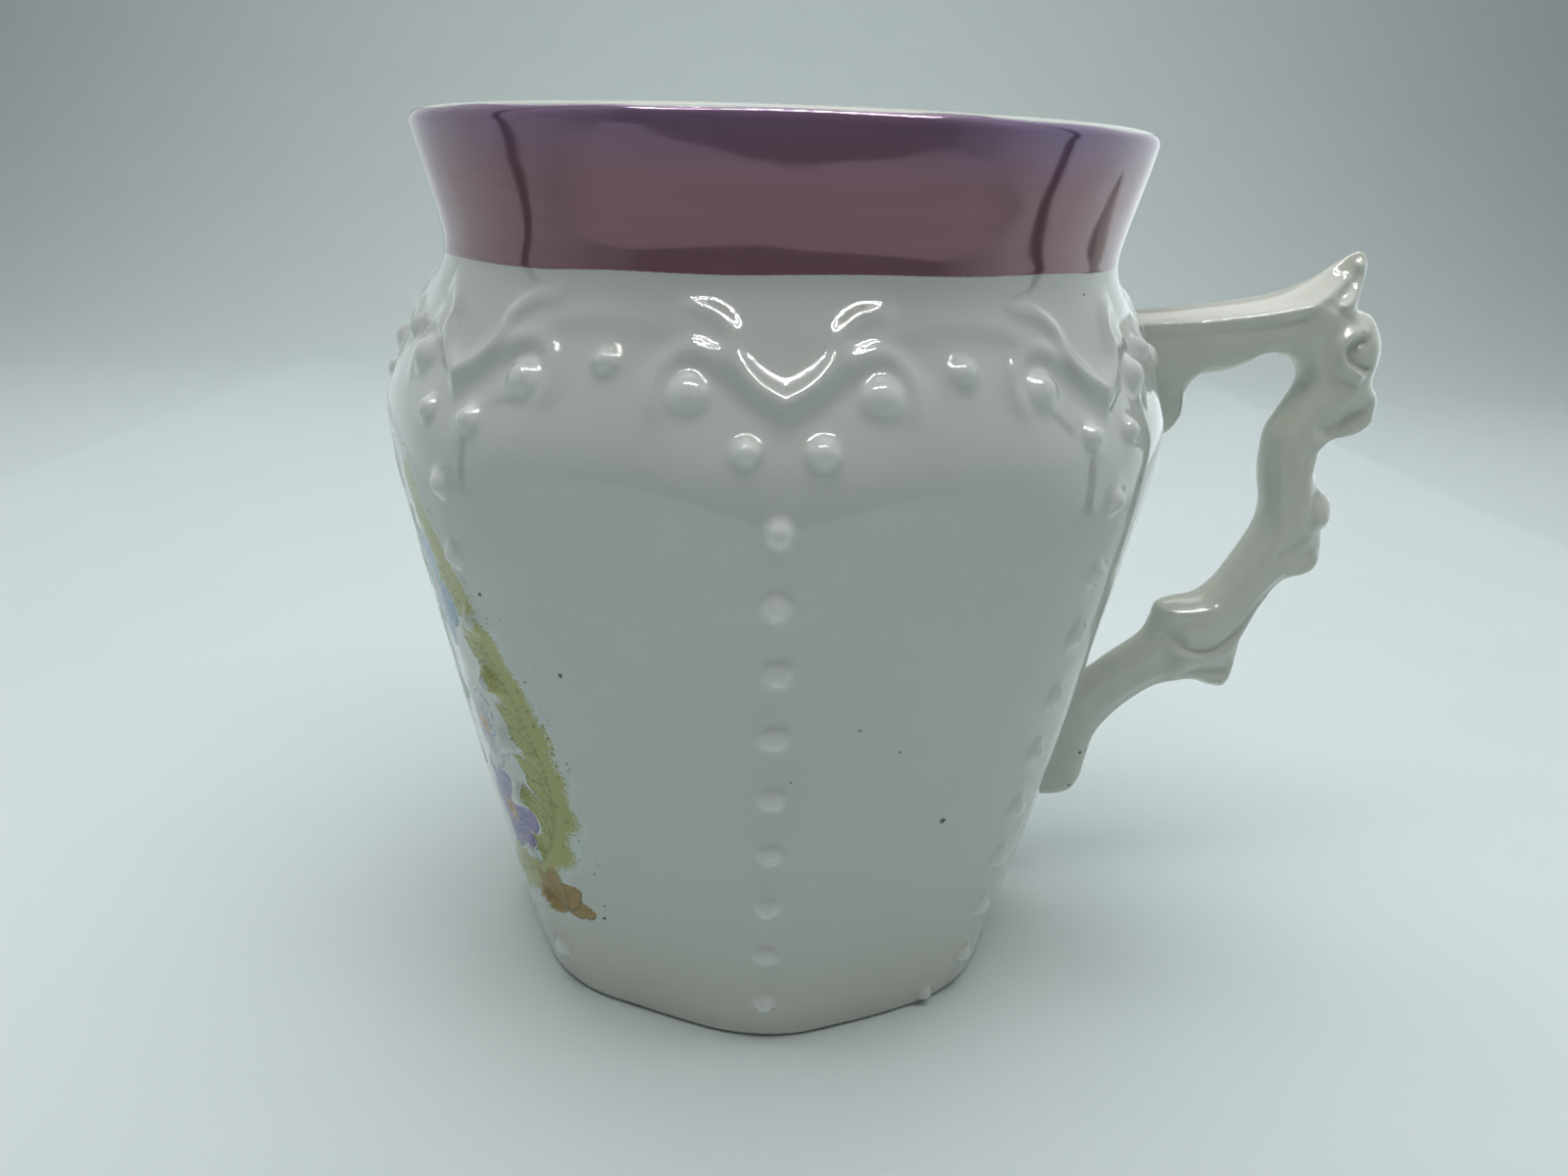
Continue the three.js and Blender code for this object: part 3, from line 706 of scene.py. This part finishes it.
def handle_mesh():
    """Both sides of the handle from a flat net of points, finest along its edge."""
    edge = handle_line[:-1]
    ahead = np.roll(edge, -1, axis=0) - np.roll(edge, 1, axis=0)
    inward = np.stack((ahead[:, 1], -ahead[:, 0]), axis=1) / np.hypot(*ahead.T)[:, None]
    net = [edge]
    rim_depths = (0.03, 0.12, 0.28, 0.5, 0.8, 1.15)
    for depth in rim_depths:
        rim = edge + depth * inward
        away, _ = from_line(rim, handle_line)
        net.append(rim[away > 0.9 * depth])
    pitch = 0.32
    outs, ups = np.meshgrid(np.arange(32, 68, pitch), np.arange(12, 81, 0.866 * pitch))
    outs[::2] += pitch / 2
    spread = np.stack((outs.ravel(), ups.ravel()), axis=1)
    away, _ = from_line(spread, handle_line)
    net.append(spread[away > 1.3])
    count = len(edge)
    loop = [(i, (i + 1) % count) for i in range(count)]
    flat, _, faces, _, _, _ = delaunay_2d_cdt(
        [Vector(place) for place in np.vstack(net)], loop, [range(count)], 1, 1e-6
    )
    used, faces = np.unique(np.array(faces), return_inverse=True)
    faces = faces.reshape(-1, 3)
    flat = np.array(flat)[used]
    half = handle_half_width(flat)
    half[from_line(flat, handle_line)[0] < 1e-4] = 0
    at_edge = half == 0
    other = np.where(at_edge, np.arange(len(flat)), len(flat) + np.cumsum(~at_edge) - 1)
    near = np.stack((flat[:, 0], -half, flat[:, 1]), axis=1)
    far = near[~at_edge] * (1, -1, 1)
    faces = np.vstack((faces, other[faces][:, ::-1]))
    return new_piece("handle_branch", np.vstack((near, far)) * MM, faces.tolist())


handle = handle_mesh()
handle_specks = []
for place, size in (((38.2, 19.8), 0.2), ((39.0, 20.0), 0.16), ((37.4, 15.2), 0.2)):
    aside = -handle_half_width(np.array([place]))[0]
    handle_specks.append(((place[0], aside, place[1]), size))
# Painted light: the handle's colours are a little warmer than the cup's, for light shining through its thin
# porcelain
handle.data.materials.append(
    glazed_porcelain("handle_porcelain_with_painted_glow", "#D6DAD0", "#CED3C7", "#CED3C7", 10, handle_specks)
)
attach(handle, "root")
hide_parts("handle")

# Joining slip: liquid porcelain brushed on both faces when the handle is stuck on. What squeezes out is
# wiped into a thin, uneven fillet round each root and glazed over with the rest.
slip_finish = glazed_porcelain("slip_porcelain", "#D4DAD3", "#CED5CD", "#CED5CD", 10, [])


def slip_fillet(name, node, height, half_height, half_width, thickness):
    """A closed, domed patch on the wall with an uneven edge, sunk a little into the casting."""
    rings = 14
    sides = 72
    sunk = 0.45
    azimuths = [handle_side]
    runs = [run_at(height)]
    lifts = [thickness]
    for ring in range(1, rings + 1):
        share = ring / rings
        turn = np.linspace(0, 2 * np.pi, sides, endpoint=False)
        uneven = 1 + 0.05 * np.sin(3 * turn + 1) + 0.04 * np.sin(7 * turn)
        across = share * half_width * uneven * np.cos(turn)
        up = share * half_height * uneven * np.sin(turn)
        azimuths.extend(handle_side + np.degrees(across / wall_radius(height)))
        runs.extend(run_at(height) + up)
        lifts.extend(np.full(sides, thickness * (1 - share**3) - 0.25 * share**6))
    azimuths = np.array(azimuths)
    runs = np.array(runs)
    points = on_wall(azimuths, runs, np.array(lifts) + relief(azimuths, runs))
    under = on_wall(azimuths, runs, np.minimum(lifts, 0) - sunk + relief(azimuths, runs))
    faces = []
    for i in range(sides):
        j = (i + 1) % sides
        faces.append([0, 1 + i, 1 + j])
        for ring in range(rings - 1):
            inner = 1 + ring * sides
            outer = inner + sides
            faces.append([inner + i, outer + i, outer + j, inner + j])
    count = len(points)
    faces += [[corner + count for corner in face][::-1] for face in faces]
    edge = 1 + (rings - 1) * sides
    for i in range(sides):
        j = (i + 1) % sides
        faces.append([edge + i, edge + count + i, edge + count + j, edge + j])
    piece = new_piece(name, np.vstack((points, under)), faces)
    piece.data.materials.append(slip_finish)
    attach(piece, "root")
    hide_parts(node)


slip_fillet("slip_at_arm", "upper_handle_slip", arm_height - 2.6, 8.4, 5.2, 0.8)
slip_fillet("slip_at_tail", "lower_handle_slip", tail_height + 7.0, 9.2, 3.5, 0.7)

# Lustre band: a metal resinate brushed round the neck on a turntable and fired to a film a few
# thousandths of a millimetre thick. The brush leaves a wavering lower edge, and use has worn the lip.
film_lift = 0.05
film_depth = 0.09
film_sink = 0.04
full_lay = 0.12


def film(name, azimuths, runs, laid, closed):
    """A thin skin on the wall from a grid of azimuths and runs, which sinks in where nothing is laid."""
    rows, columns = azimuths.shape
    raised = relief(azimuths.ravel(), runs.ravel())
    raised += (film_lift + film_sink) * smooth_step(laid.ravel(), 0, full_lay) - film_sink
    top = on_wall(azimuths.ravel(), runs.ravel(), raised)
    under = on_wall(azimuths.ravel(), runs.ravel(), raised - film_depth)
    count = rows * columns
    faces = []
    across = columns if closed else columns - 1
    for row in range(rows - 1):
        for i in range(across):
            j = (i + 1) % columns
            low = row * columns
            high = low + columns
            faces.append([low + i, low + j, high + j, high + i])
            faces.append([low + i + count, high + i + count, high + j + count, low + j + count])
    last = (rows - 1) * columns
    for i in range(across):
        j = (i + 1) % columns
        faces.append([j, i, i + count, j + count])
        faces.append([last + i, last + j, last + j + count, last + i + count])
    return new_piece(name, np.vstack((top, under)), faces)


band_drop = 0.95
band_over_lip = 1.1
band_turn = np.linspace(0, 360, 480, endpoint=False)
turn = np.radians(band_turn)
waver = 0.35 * np.sin(turn - 0.3) + 0.16 * np.sin(3 * turn + 1) + 0.07 * np.sin(11 * turn)
worn = 0.1 * np.sin(5 * turn) + 0.08 * np.sin(17 * turn + 2)
band_low = neck_height - band_drop + waver
band_high = stretch_end["neck"] + band_over_lip + worn
band_share = np.linspace(0, 1, 34)[:, None]
band_runs = run_at(band_low) + band_share * (band_high - run_at(band_low))
band_laid = np.minimum(band_share, 1 - band_share) * np.ones(band_runs.shape) * 4
band = film("lustre_film", np.broadcast_to(band_turn, band_runs.shape), band_runs, band_laid, closed=True)


# Pink lustre: a gold-bearing film over the glaze. It mirrors softly, is mauve-pink with lilac clouds
# towards the top that are a painted reflection, and shows the faint rings that the banding brush left.
def pink_lustre(name):
    material, tree, shader, place = new_material(name)
    height = add_node(tree, "SeparateXYZ", {"Vector": place}, output="Z")
    rings = add_node(tree, "VectorMath", {0: place, 1: (1, 1, 9)}, operation="MULTIPLY")
    brushed = add_node(tree, "TexNoise", {"Vector": rings, "Scale": per_mm(16), "Detail": 4})
    body = add_node(
        tree, "Mix", {"Factor": brushed, "A": linear("#87616E"), "B": linear("#76545F")}, data_type="RGBA"
    )
    # Painted reflection: lilac clouds laid over the upper part of the band
    upper = add_node(
        tree, "MapRange",
        {"Value": height, "From Min": (mug_height - 6.5) * MM, "From Max": mug_height * MM},
        interpolation_type="SMOOTHSTEP",
    )
    cloud = add_node(tree, "TexNoise", {"Vector": place, "Scale": per_mm(18), "Detail": 2})
    violet = add_node(tree, "Math", {0: upper, 1: cloud}, operation="MULTIPLY")
    colour = add_node(tree, "Mix", {"Factor": violet, "A": body, "B": linear("#70648F")}, data_type="RGBA")
    gloss = add_node(tree, "MapRange", {"Value": brushed, "To Min": 0.05, "To Max": 0.12})
    peel = add_node(tree, "TexNoise", {"Vector": place, "Scale": per_mm(9), "Detail": 1})
    ripple = add_node(tree, "Bump", {"Height": peel, "Strength": 0.6, "Distance": 0.3 * MM})
    fill_sockets(shader, {
        "Base Color": colour, "Roughness": gloss, "Normal": ripple, "Metallic": 0.3, "IOR": glaze_ior,
    })
    return material


band.data.materials.append(pink_lustre("fired_pink_lustre"))
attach(band, "root")
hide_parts("lustre_band")

# Printed spray: enamel colours from a stippled lithographic transfer, laid on the glaze opposite the
# handle and fired. It is drawn here as flowers and leafy branches in the print's colours and scale.
print_side = -90
print_reach = 62
print_top = belly_height - 1.2
print_bottom = 7.5
dot_pitch = 0.28
azimuth_pitch = 0.4
branch_steps = 60

print_azimuths, print_heights = np.meshgrid(
    print_side + np.arange(-print_reach, print_reach + 0.1, azimuth_pitch),
    np.arange(print_bottom, print_top + 0.1, dot_pitch),
)
across = np.radians(print_azimuths - print_side) * wall_radius(print_heights)
up = print_heights
ink = np.ones(across.shape + (3,))
cover = np.zeros(across.shape)


def lay_ink(amount, hex_colour):
    """Prints one colour over what is there."""
    added = np.clip(amount, 0, 1)
    kept = cover * (1 - added)
    share = (added / np.maximum(added + kept, 1e-6))[..., None]
    ink[:] = ink * (1 - share) + share * np.array(linear(hex_colour)[:3])
    cover[:] = added + kept


def inside(distance, soft=0.16):
    """Full ink where the distance is below zero, with a soft printed edge."""
    return 1 - smooth_step(distance, -soft, soft)


def bent_line(start, bend, end):
    """A bent line's points, and the distance of every place from it."""
    curve = bezier([start, bend, end], branch_steps)
    nearest = np.full(across.shape, np.inf)
    for x, y in curve:
        nearest = np.minimum(nearest, np.hypot(across - x, up - y))
    return curve, nearest


def print_leaf(root, bearing, length, width, hex_colour):
    way = np.array((np.cos(np.radians(bearing)), np.sin(np.radians(bearing))))
    along = ((across - root[0]) * way[0] + (up - root[1]) * way[1]) / length
    aside = -(across - root[0]) * way[1] + (up - root[1]) * way[0]
    aside = aside - 0.12 * length * np.sin(np.pi * np.clip(along, 0, 1))
    half = width / 2 * np.sin(np.pi * np.clip(along, 0, 1)) ** 0.8
    shape = inside(np.abs(aside) - half) * (along > 0) * (along < 1)
    tone = 0.8 + 0.2 * (aside > 0)
    lay_ink(shape * tone, hex_colour)
    lay_ink(inside(np.abs(np.abs(aside) - half) - 0.08) * (along > 0.03) * (along < 0.97) * 0.8, "#55633A")
    lay_ink(inside(np.abs(aside) - 0.06) * (along > 0) * (along < 0.9) * 0.8, "#5E6B3A")


def print_flower(middle, radius, twist, petals, hex_colour, hex_shade):
    x = across - middle[0]
    y = up - middle[1]
    reach = np.hypot(x, y)
    bearing = np.arctan2(y, x) + twist
    rim = radius * (0.62 + 0.38 * np.abs(np.cos(petals * bearing / 2)) ** 0.7)
    cover[:] *= 1 - 0.9 * inside(reach - 1.08 * rim)
    lay_ink(inside(reach - rim) * (0.5 + 0.4 * reach / radius), hex_colour)
    veins = 0.5 + 0.5 * np.cos(5 * petals * bearing)
    lay_ink(inside(reach - 0.72 * rim, 0.5) * 0.7 * veins, hex_shade)
    lay_ink(inside(np.abs(reach - rim) - 0.1) * 0.85, hex_shade)
    lay_ink(inside(reach - 0.2 * radius, 0.3) * 0.85, "#D9A646")
    lay_ink(inside(reach - 0.09 * radius) * 0.8, "#8A5A2C")


def print_branch(start, bend, end, wash, leaves, leaf_length, spread, hex_colour):
    """A branch in a wash of its own colour, with leaves that lean to the angles in spread by turns."""
    curve, away = bent_line(start, bend, end)
    ragged = 1 + 0.22 * np.sin(0.9 * up + 0.5 * across) * np.sin(0.7 * across - 0.4 * up)
    lay_ink(0.9 * inside(away - wash * ragged, 1.5), hex_colour)
    lay_ink(inside(away - 0.2) * 0.7, "#5E6638")
    for i in range(leaves):
        step = int((i + 0.7) / leaves * (branch_steps - 2))
        spot = curve[step]
        ahead = curve[step + 2] - spot
        heading = np.degrees(np.arctan2(ahead[1], ahead[0])) + spread[i % len(spread)]
        print_leaf(spot, heading, leaf_length * (1 - 0.25 * i / leaves), 0.4 * leaf_length, hex_colour)


for side in (1, -1):
    outer = ((18 * side, 12.0), (45 * side, 24), (23 * side, 57))
    inner = ((2 * side, 16), (20 * side, 34), (12 * side, 57))
    print_branch(*outer, 2.5, 15, 5.0, (40 * side, 62 * side), "#B2B46E")
    print_branch(*inner, 1.2, 9, 6.4, (48, -48), "#66885A")
    for lean, length in ((15, 4.4), (50, 5.2), (85, 5.6), (120, 5.0), (160, 4.6)):
        turned_lean = lean if side > 0 else 180 - lean
        print_leaf((27.5 * side, 11.5), turned_lean, length, 2.6, "#AA8A4C")

violet_petals = (6, "#9A92BC", "#5E578A")
white_petals = (5, "#D3D6DA", "#6F7390")
blue_petals = (5, "#7AA3BE", "#456F8C")
flowers = [
    ((23.0, 22), 5.4, 0.9, violet_petals), ((-21.5, 25), 6.0, 0.1, violet_petals),
    ((24.0, 32), 4.6, 0.2, white_petals), ((-24.0, 35), 4.6, 0.7, white_petals),
    ((21, 46), 6.2, 0.2, blue_petals), ((-18, 47), 6.2, 0.8, blue_petals),
    ((0, 23), 7.0, 0.3, (7, "#C9918F", "#9A5E63")), ((1, 41), 7.8, 0.6, (6, "#B9A3C6", "#7D6797")),
    ((-29, 44), 3.2, 0.5, (5, "#D9B45C", "#B0812F")),
]
for middle, radius, twist, petals in flowers:
    print_flower(middle, radius, twist, *petals)

# Stray flecks of ink along the print's two edges, which bow outwards
fleck_count = 140
for _ in range(fleck_count):
    height = chance.uniform(print_bottom + 2, print_top - 4)
    side = chance.choice((-1, 1))
    rim = 36.0 - 0.011 * (height - 31) ** 2 + chance.normal(0, 1.2)
    away = np.hypot(across - side * rim, up - height)
    lay_ink(inside(away - chance.uniform(0.06, 0.2), 0.14) * 0.9, "#4A4A34")
# The transfer doesn't take on the tops of the beads, so they stay nearly white.
for azimuth, height, size, _ in beads:
    if abs(turned(azimuth, print_side)) < print_reach:
        beside = np.radians(print_azimuths - print_side - turned(azimuth, print_side)) * wall_radius(height)
        cover *= 1 - 0.9 * np.exp(-((np.hypot(beside, up - height) / (0.62 * size)) ** 4))
printed = film("enamel_print", print_azimuths, run_at(print_heights), cover, closed=False)
painted = np.concatenate((ink, cover[..., None]), axis=2).reshape(-1, 4)
printed.data.color_attributes.new("print", "FLOAT_COLOR", "POINT").data.foreach_set(
    "color", np.tile(painted, (2, 1)).astype(np.float32).ravel()
)
bare = np.tile(cover.ravel() < 0.03, 2)
skin = bmesh.new()
skin.from_mesh(printed.data)
unprinted = [face for face in skin.faces if all(bare[vert.index] for vert in face.verts)]
bmesh.ops.delete(skin, geom=unprinted, context="FACES")
bmesh.ops.delete(skin, geom=[vert for vert in skin.verts if not vert.link_faces], context="VERTS")
skin.to_mesh(printed.data)
skin.free()


# Printed enamel: flat colour in fine dots on the glaze, so pale tones are dots with white between them.
# It is a little less glossy than bare glaze. The dots are drawn as coarse as they need to show.
def printed_enamel(name):
    material, tree, shader, place = new_material(name)
    drawn = add_node(tree, "VertexColor", {}, layer_name="print").node.outputs
    dots = add_node(tree, "TexVoronoi", {"Vector": place, "Scale": per_mm(dot_pitch), "Randomness": 0.9})
    uneven = add_node(tree, "TexNoise", {"Vector": place, "Scale": per_mm(0.9), "Detail": 3})
    spread = add_node(tree, "Math", {0: uneven, 1: 0.35, 2: dots}, operation="MULTIPLY_ADD")
    filled = add_node(tree, "Math", {0: drawn["Alpha"], 1: 1.3}, operation="MULTIPLY")
    inked = add_node(tree, "Math", {0: filled, 1: spread}, operation="SUBTRACT")
    sharp = add_node(tree, "MapRange", {"Value": inked, "From Min": -0.22, "From Max": 0.2})
    colour = add_node(
        tree, "Mix", {"Factor": sharp, "A": linear("#D7DDD7"), "B": drawn["Color"]}, data_type="RGBA"
    )
    gloss = add_node(tree, "MapRange", {"Value": sharp, "To Min": 0.08, "To Max": 0.24})
    fill_sockets(shader, {
        "Base Color": colour, "Roughness": gloss, "IOR": glaze_ior,
        "Subsurface Weight": 0.1, "Subsurface Scale": 1.0 * MM,
    })
    return material


printed.data.materials.append(printed_enamel("stippled_enamel"))
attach(printed, "root")
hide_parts("printed_panel")

# Table and light box: a white paper sweep in a photo light box with a lit ceiling, pale lit walls and two
# rows of small lamps. Its open front is dim, with dark strips of painted shade at the sides for its shaded
# edges. The walls, strips, front and lit floor are there for the glaze to mirror. Lengths in this section
# are in metres.
sweep_front = -0.7
sweep_flat_end = 0.4
sweep_round = 0.35
sweep_top = 1.4
sweep_half_width = 0.9
sweep_line = [(sweep_front, 0.0), (sweep_flat_end, 0.0)]
for turn in np.radians(np.arange(5, 90.1, 5)):
    out = sweep_flat_end + sweep_round * np.sin(turn)
    sweep_line.append((out, sweep_round - sweep_round * np.cos(turn)))
sweep_line.append((sweep_flat_end + sweep_round, sweep_top))
sweep_points = np.array([(x, y, z) for y, z in sweep_line for x in (-sweep_half_width, sweep_half_width)])
sweep_faces = [[2 * i, 2 * i + 1, 2 * i + 3, 2 * i + 2] for i in range(len(sweep_line) - 1)]
sweep = new_piece("paper_sweep", sweep_points, sweep_faces)
paper, paper_tree, paper_shader, paper_place = new_material("white_paper")
fibre = add_node(paper_tree, "TexNoise", {"Vector": paper_place, "Scale": per_mm(30), "Detail": 4})
paper_colour = add_node(
    paper_tree, "Mix", {"Factor": fibre, "A": linear("#EAF5F6"), "B": linear("#E5F1F2")}, data_type="RGBA"
)
fill_sockets(paper_shader, {"Base Color": paper_colour, "Roughness": 0.85})
sweep.data.materials.append(paper)

box_half_width = 0.21
box_front = -0.2
box_back = 0.42
box_height = 0.5
room_half_width = 0.7
room_height = 0.9
edge_shade_inset = 0.01
edge_shade_front = -0.036
edge_shade_back = -0.022
left_glow = 0.4
right_glow = 0.85
floor_glow = 0.35
wall_lit_from = 0.0
shadow_edge = -0.045
floor_lit_from = -0.12
floor_lift = 0.0005


def upright(start, end, height):
    """The corners of a sheet that stands on the floor from one point to another."""
    return [(*start, 0), (*end, 0), (*end, height), (*start, height)]


def mirrored_sheet(name, corners, finish):
    """A flat sheet that only shows in the glaze."""
    sheet = new_piece(name, np.array(corners), [[0, 1, 2, 3]])
    sheet.data.materials.append(finish)
    sheet.visible_camera = False
    sheet.visible_shadow = False
    sheet.visible_diffuse = False


# Dark strips on the box's front edges, painted shade where those edges fall in shadow, and the dim room
# that its open front shows. Both are matt.
def matt_finish(name, hex_colour, roughness):
    material, _, shader, _ = new_material(name)
    fill_sockets(shader, {"Base Color": linear(hex_colour), "Roughness": roughness})
    return material


room_edges = ((-room_half_width, box_front), (room_half_width, box_front))
mirrored_sheet("dim_front", upright(*room_edges, room_height), matt_finish("dim_room", "#BDB6B8", 0.9))
# Painted shade: dark strips, seen only in the glaze, for the box's shaded front edges
painted_edge_shade = matt_finish("painted_edge_shade", "#685E64", 0.8)
for edge in (-1, 1):
    place = edge * (box_half_width - edge_shade_inset)
    mirrored_sheet("shaded_box_edge", upright((place, edge_shade_front), (place, edge_shade_back), box_height), painted_edge_shade)


# Lit white walls and floor: they show in the glaze, the walls brighter towards the back, where the box's
# own lamps are, and the floor brighter towards the front, clear of the mug's shadow.
def lit_paper(name, dim_end, lit_end, glow):
    material, tree, shader, place = new_material(name)
    along = add_node(tree, "SeparateXYZ", {"Vector": place}, output="Y")
    strength = add_node(
        tree, "MapRange",
        {"Value": along, "From Min": dim_end, "From Max": lit_end, "To Min": 0.1 * glow, "To Max": glow},
        interpolation_type="SMOOTHSTEP",
    )
    fill_sockets(shader, {
        "Emission Strength": strength, "Emission Color": linear("#EEF6F8"), "Base Color": linear("#E8EEEF"),
    })
    return material


for edge, glow in ((-1, left_glow), (1, right_glow)):
    place = edge * box_half_width
    wall_paper = lit_paper("lit_wall", box_front, wall_lit_from, glow)
    mirrored_sheet("box_wall", upright((place, box_front), (place, box_back), box_height), wall_paper)
floor_corners = [
    (-box_half_width, box_front, floor_lift), (box_half_width, box_front, floor_lift),
    (box_half_width, shadow_edge, floor_lift), (-box_half_width, shadow_edge, floor_lift),
]
mirrored_sheet("lit_floor", floor_corners, lit_paper("lit_floor", shadow_edge, floor_lit_from, floor_glow))


def add_lamp(name, place, aim, width, length, power):
    """A lit rectangle, in metres and watts, turned towards what it aims at."""
    lamp = bpy.data.lights.new(name, "AREA")
    lamp.shape = "RECTANGLE"
    lamp.size = width
    lamp.size_y = length
    lamp.energy = power
    held = bpy.data.objects.new(name, lamp)
    held.location = place
    held.rotation_mode = "QUATERNION"
    held.rotation_quaternion = (Vector(place) - Vector(aim)).to_track_quat("Z", "Y")
    bpy.context.collection.objects.link(held)
    return held


add_lamp("box_ceiling", (0, 0.04, 0.56), (0, 0.04, 0), 0.64, 0.62, 2.45)
add_lamp("back_lamp", (0, 0.3, 0.45), (0, 0.6, 0), 0.6, 0.1, 0.42)
add_lamp("top_strip", (0, -0.1, 0.335), (0, -0.1, 0), 0.3, 0.05, 0.15)
# The small lamps only sparkle in the glaze: the larger ones do the lighting.
lamp_rows = (-0.07, -0.10)
lamp_height = 0.31
lamp_pitch = 0.02
lamp_reach = 0.13
for row in lamp_rows:
    for place in np.arange(-lamp_reach, lamp_reach + lamp_pitch / 2, lamp_pitch):
        small_lamp = add_lamp("small_lamp", (place, row, lamp_height), (place, row, 0), 0.012, 0.008, 0.03)
        small_lamp.visible_diffuse = False

# The room is seen, and mirrored, as a pale grey, but gives the mug little light.
room_seen = 0.55
room_fill = 0.07
world = bpy.data.worlds.new("pale_room")
world.use_nodes = True
room_tree = world.node_tree
rays = add_node(room_tree, "LightPath", {}).node.outputs
seen = rays["Is Camera Ray"]
for kind in ("Is Glossy Ray", "Is Transmission Ray"):
    seen = add_node(room_tree, "Math", {0: seen, 1: rays[kind]}, operation="MAXIMUM")
room_light = add_node(room_tree, "MapRange", {"Value": seen, "To Min": room_fill, "To Max": room_seen})
room = room_tree.nodes["Background"]
fill_sockets(room, {"Color": linear("#EEF3F4"), "Strength": room_light})
bpy.context.scene.world = world
bpy.context.scene.view_settings.view_transform = "Standard"

# Camera: a phone held close, a little above the rim and tipped down. Its place, tilt and lens come from
# fitting the cup's outline, rim, foot and bead rows in the photograph, in millimetres and degrees.
camera_distance = 130.55
camera_height = 84.46
camera_side = -0.9
camera_pitch = 18.998
camera_yaw = 0.638
camera_roll = 1.941
focal_pixels = 1202
frame_pixels = 1600

pitch, yaw, roll, side = np.radians((camera_pitch, camera_yaw, camera_roll, camera_side))
level_right = np.array((np.cos(yaw), -np.sin(yaw), 0))
forward = np.array((np.sin(yaw) * np.cos(pitch), np.cos(yaw) * np.cos(pitch), -np.sin(pitch)))
level_up = np.array((np.sin(yaw) * np.sin(pitch), np.cos(yaw) * np.sin(pitch), np.cos(pitch)))
right = level_right * np.cos(roll) + level_up * np.sin(roll)
top = level_up * np.cos(roll) - level_right * np.sin(roll)
lens = bpy.data.cameras.new("phone")
lens.sensor_width = 36
lens.lens = focal_pixels / frame_pixels * lens.sensor_width
lens.clip_start = 0.01
camera = bpy.data.objects.new("phone", lens)
looking = np.identity(4)
looking[:3, 0] = right
looking[:3, 1] = top
looking[:3, 2] = -forward
looking[:3, 3] = (0, -camera_distance * MM, camera_height * MM)
camera.matrix_world = Matrix.Rotation(side, 4, "Z") @ Matrix(looking.tolist())
bpy.context.collection.objects.link(camera)
bpy.context.scene.camera = camera
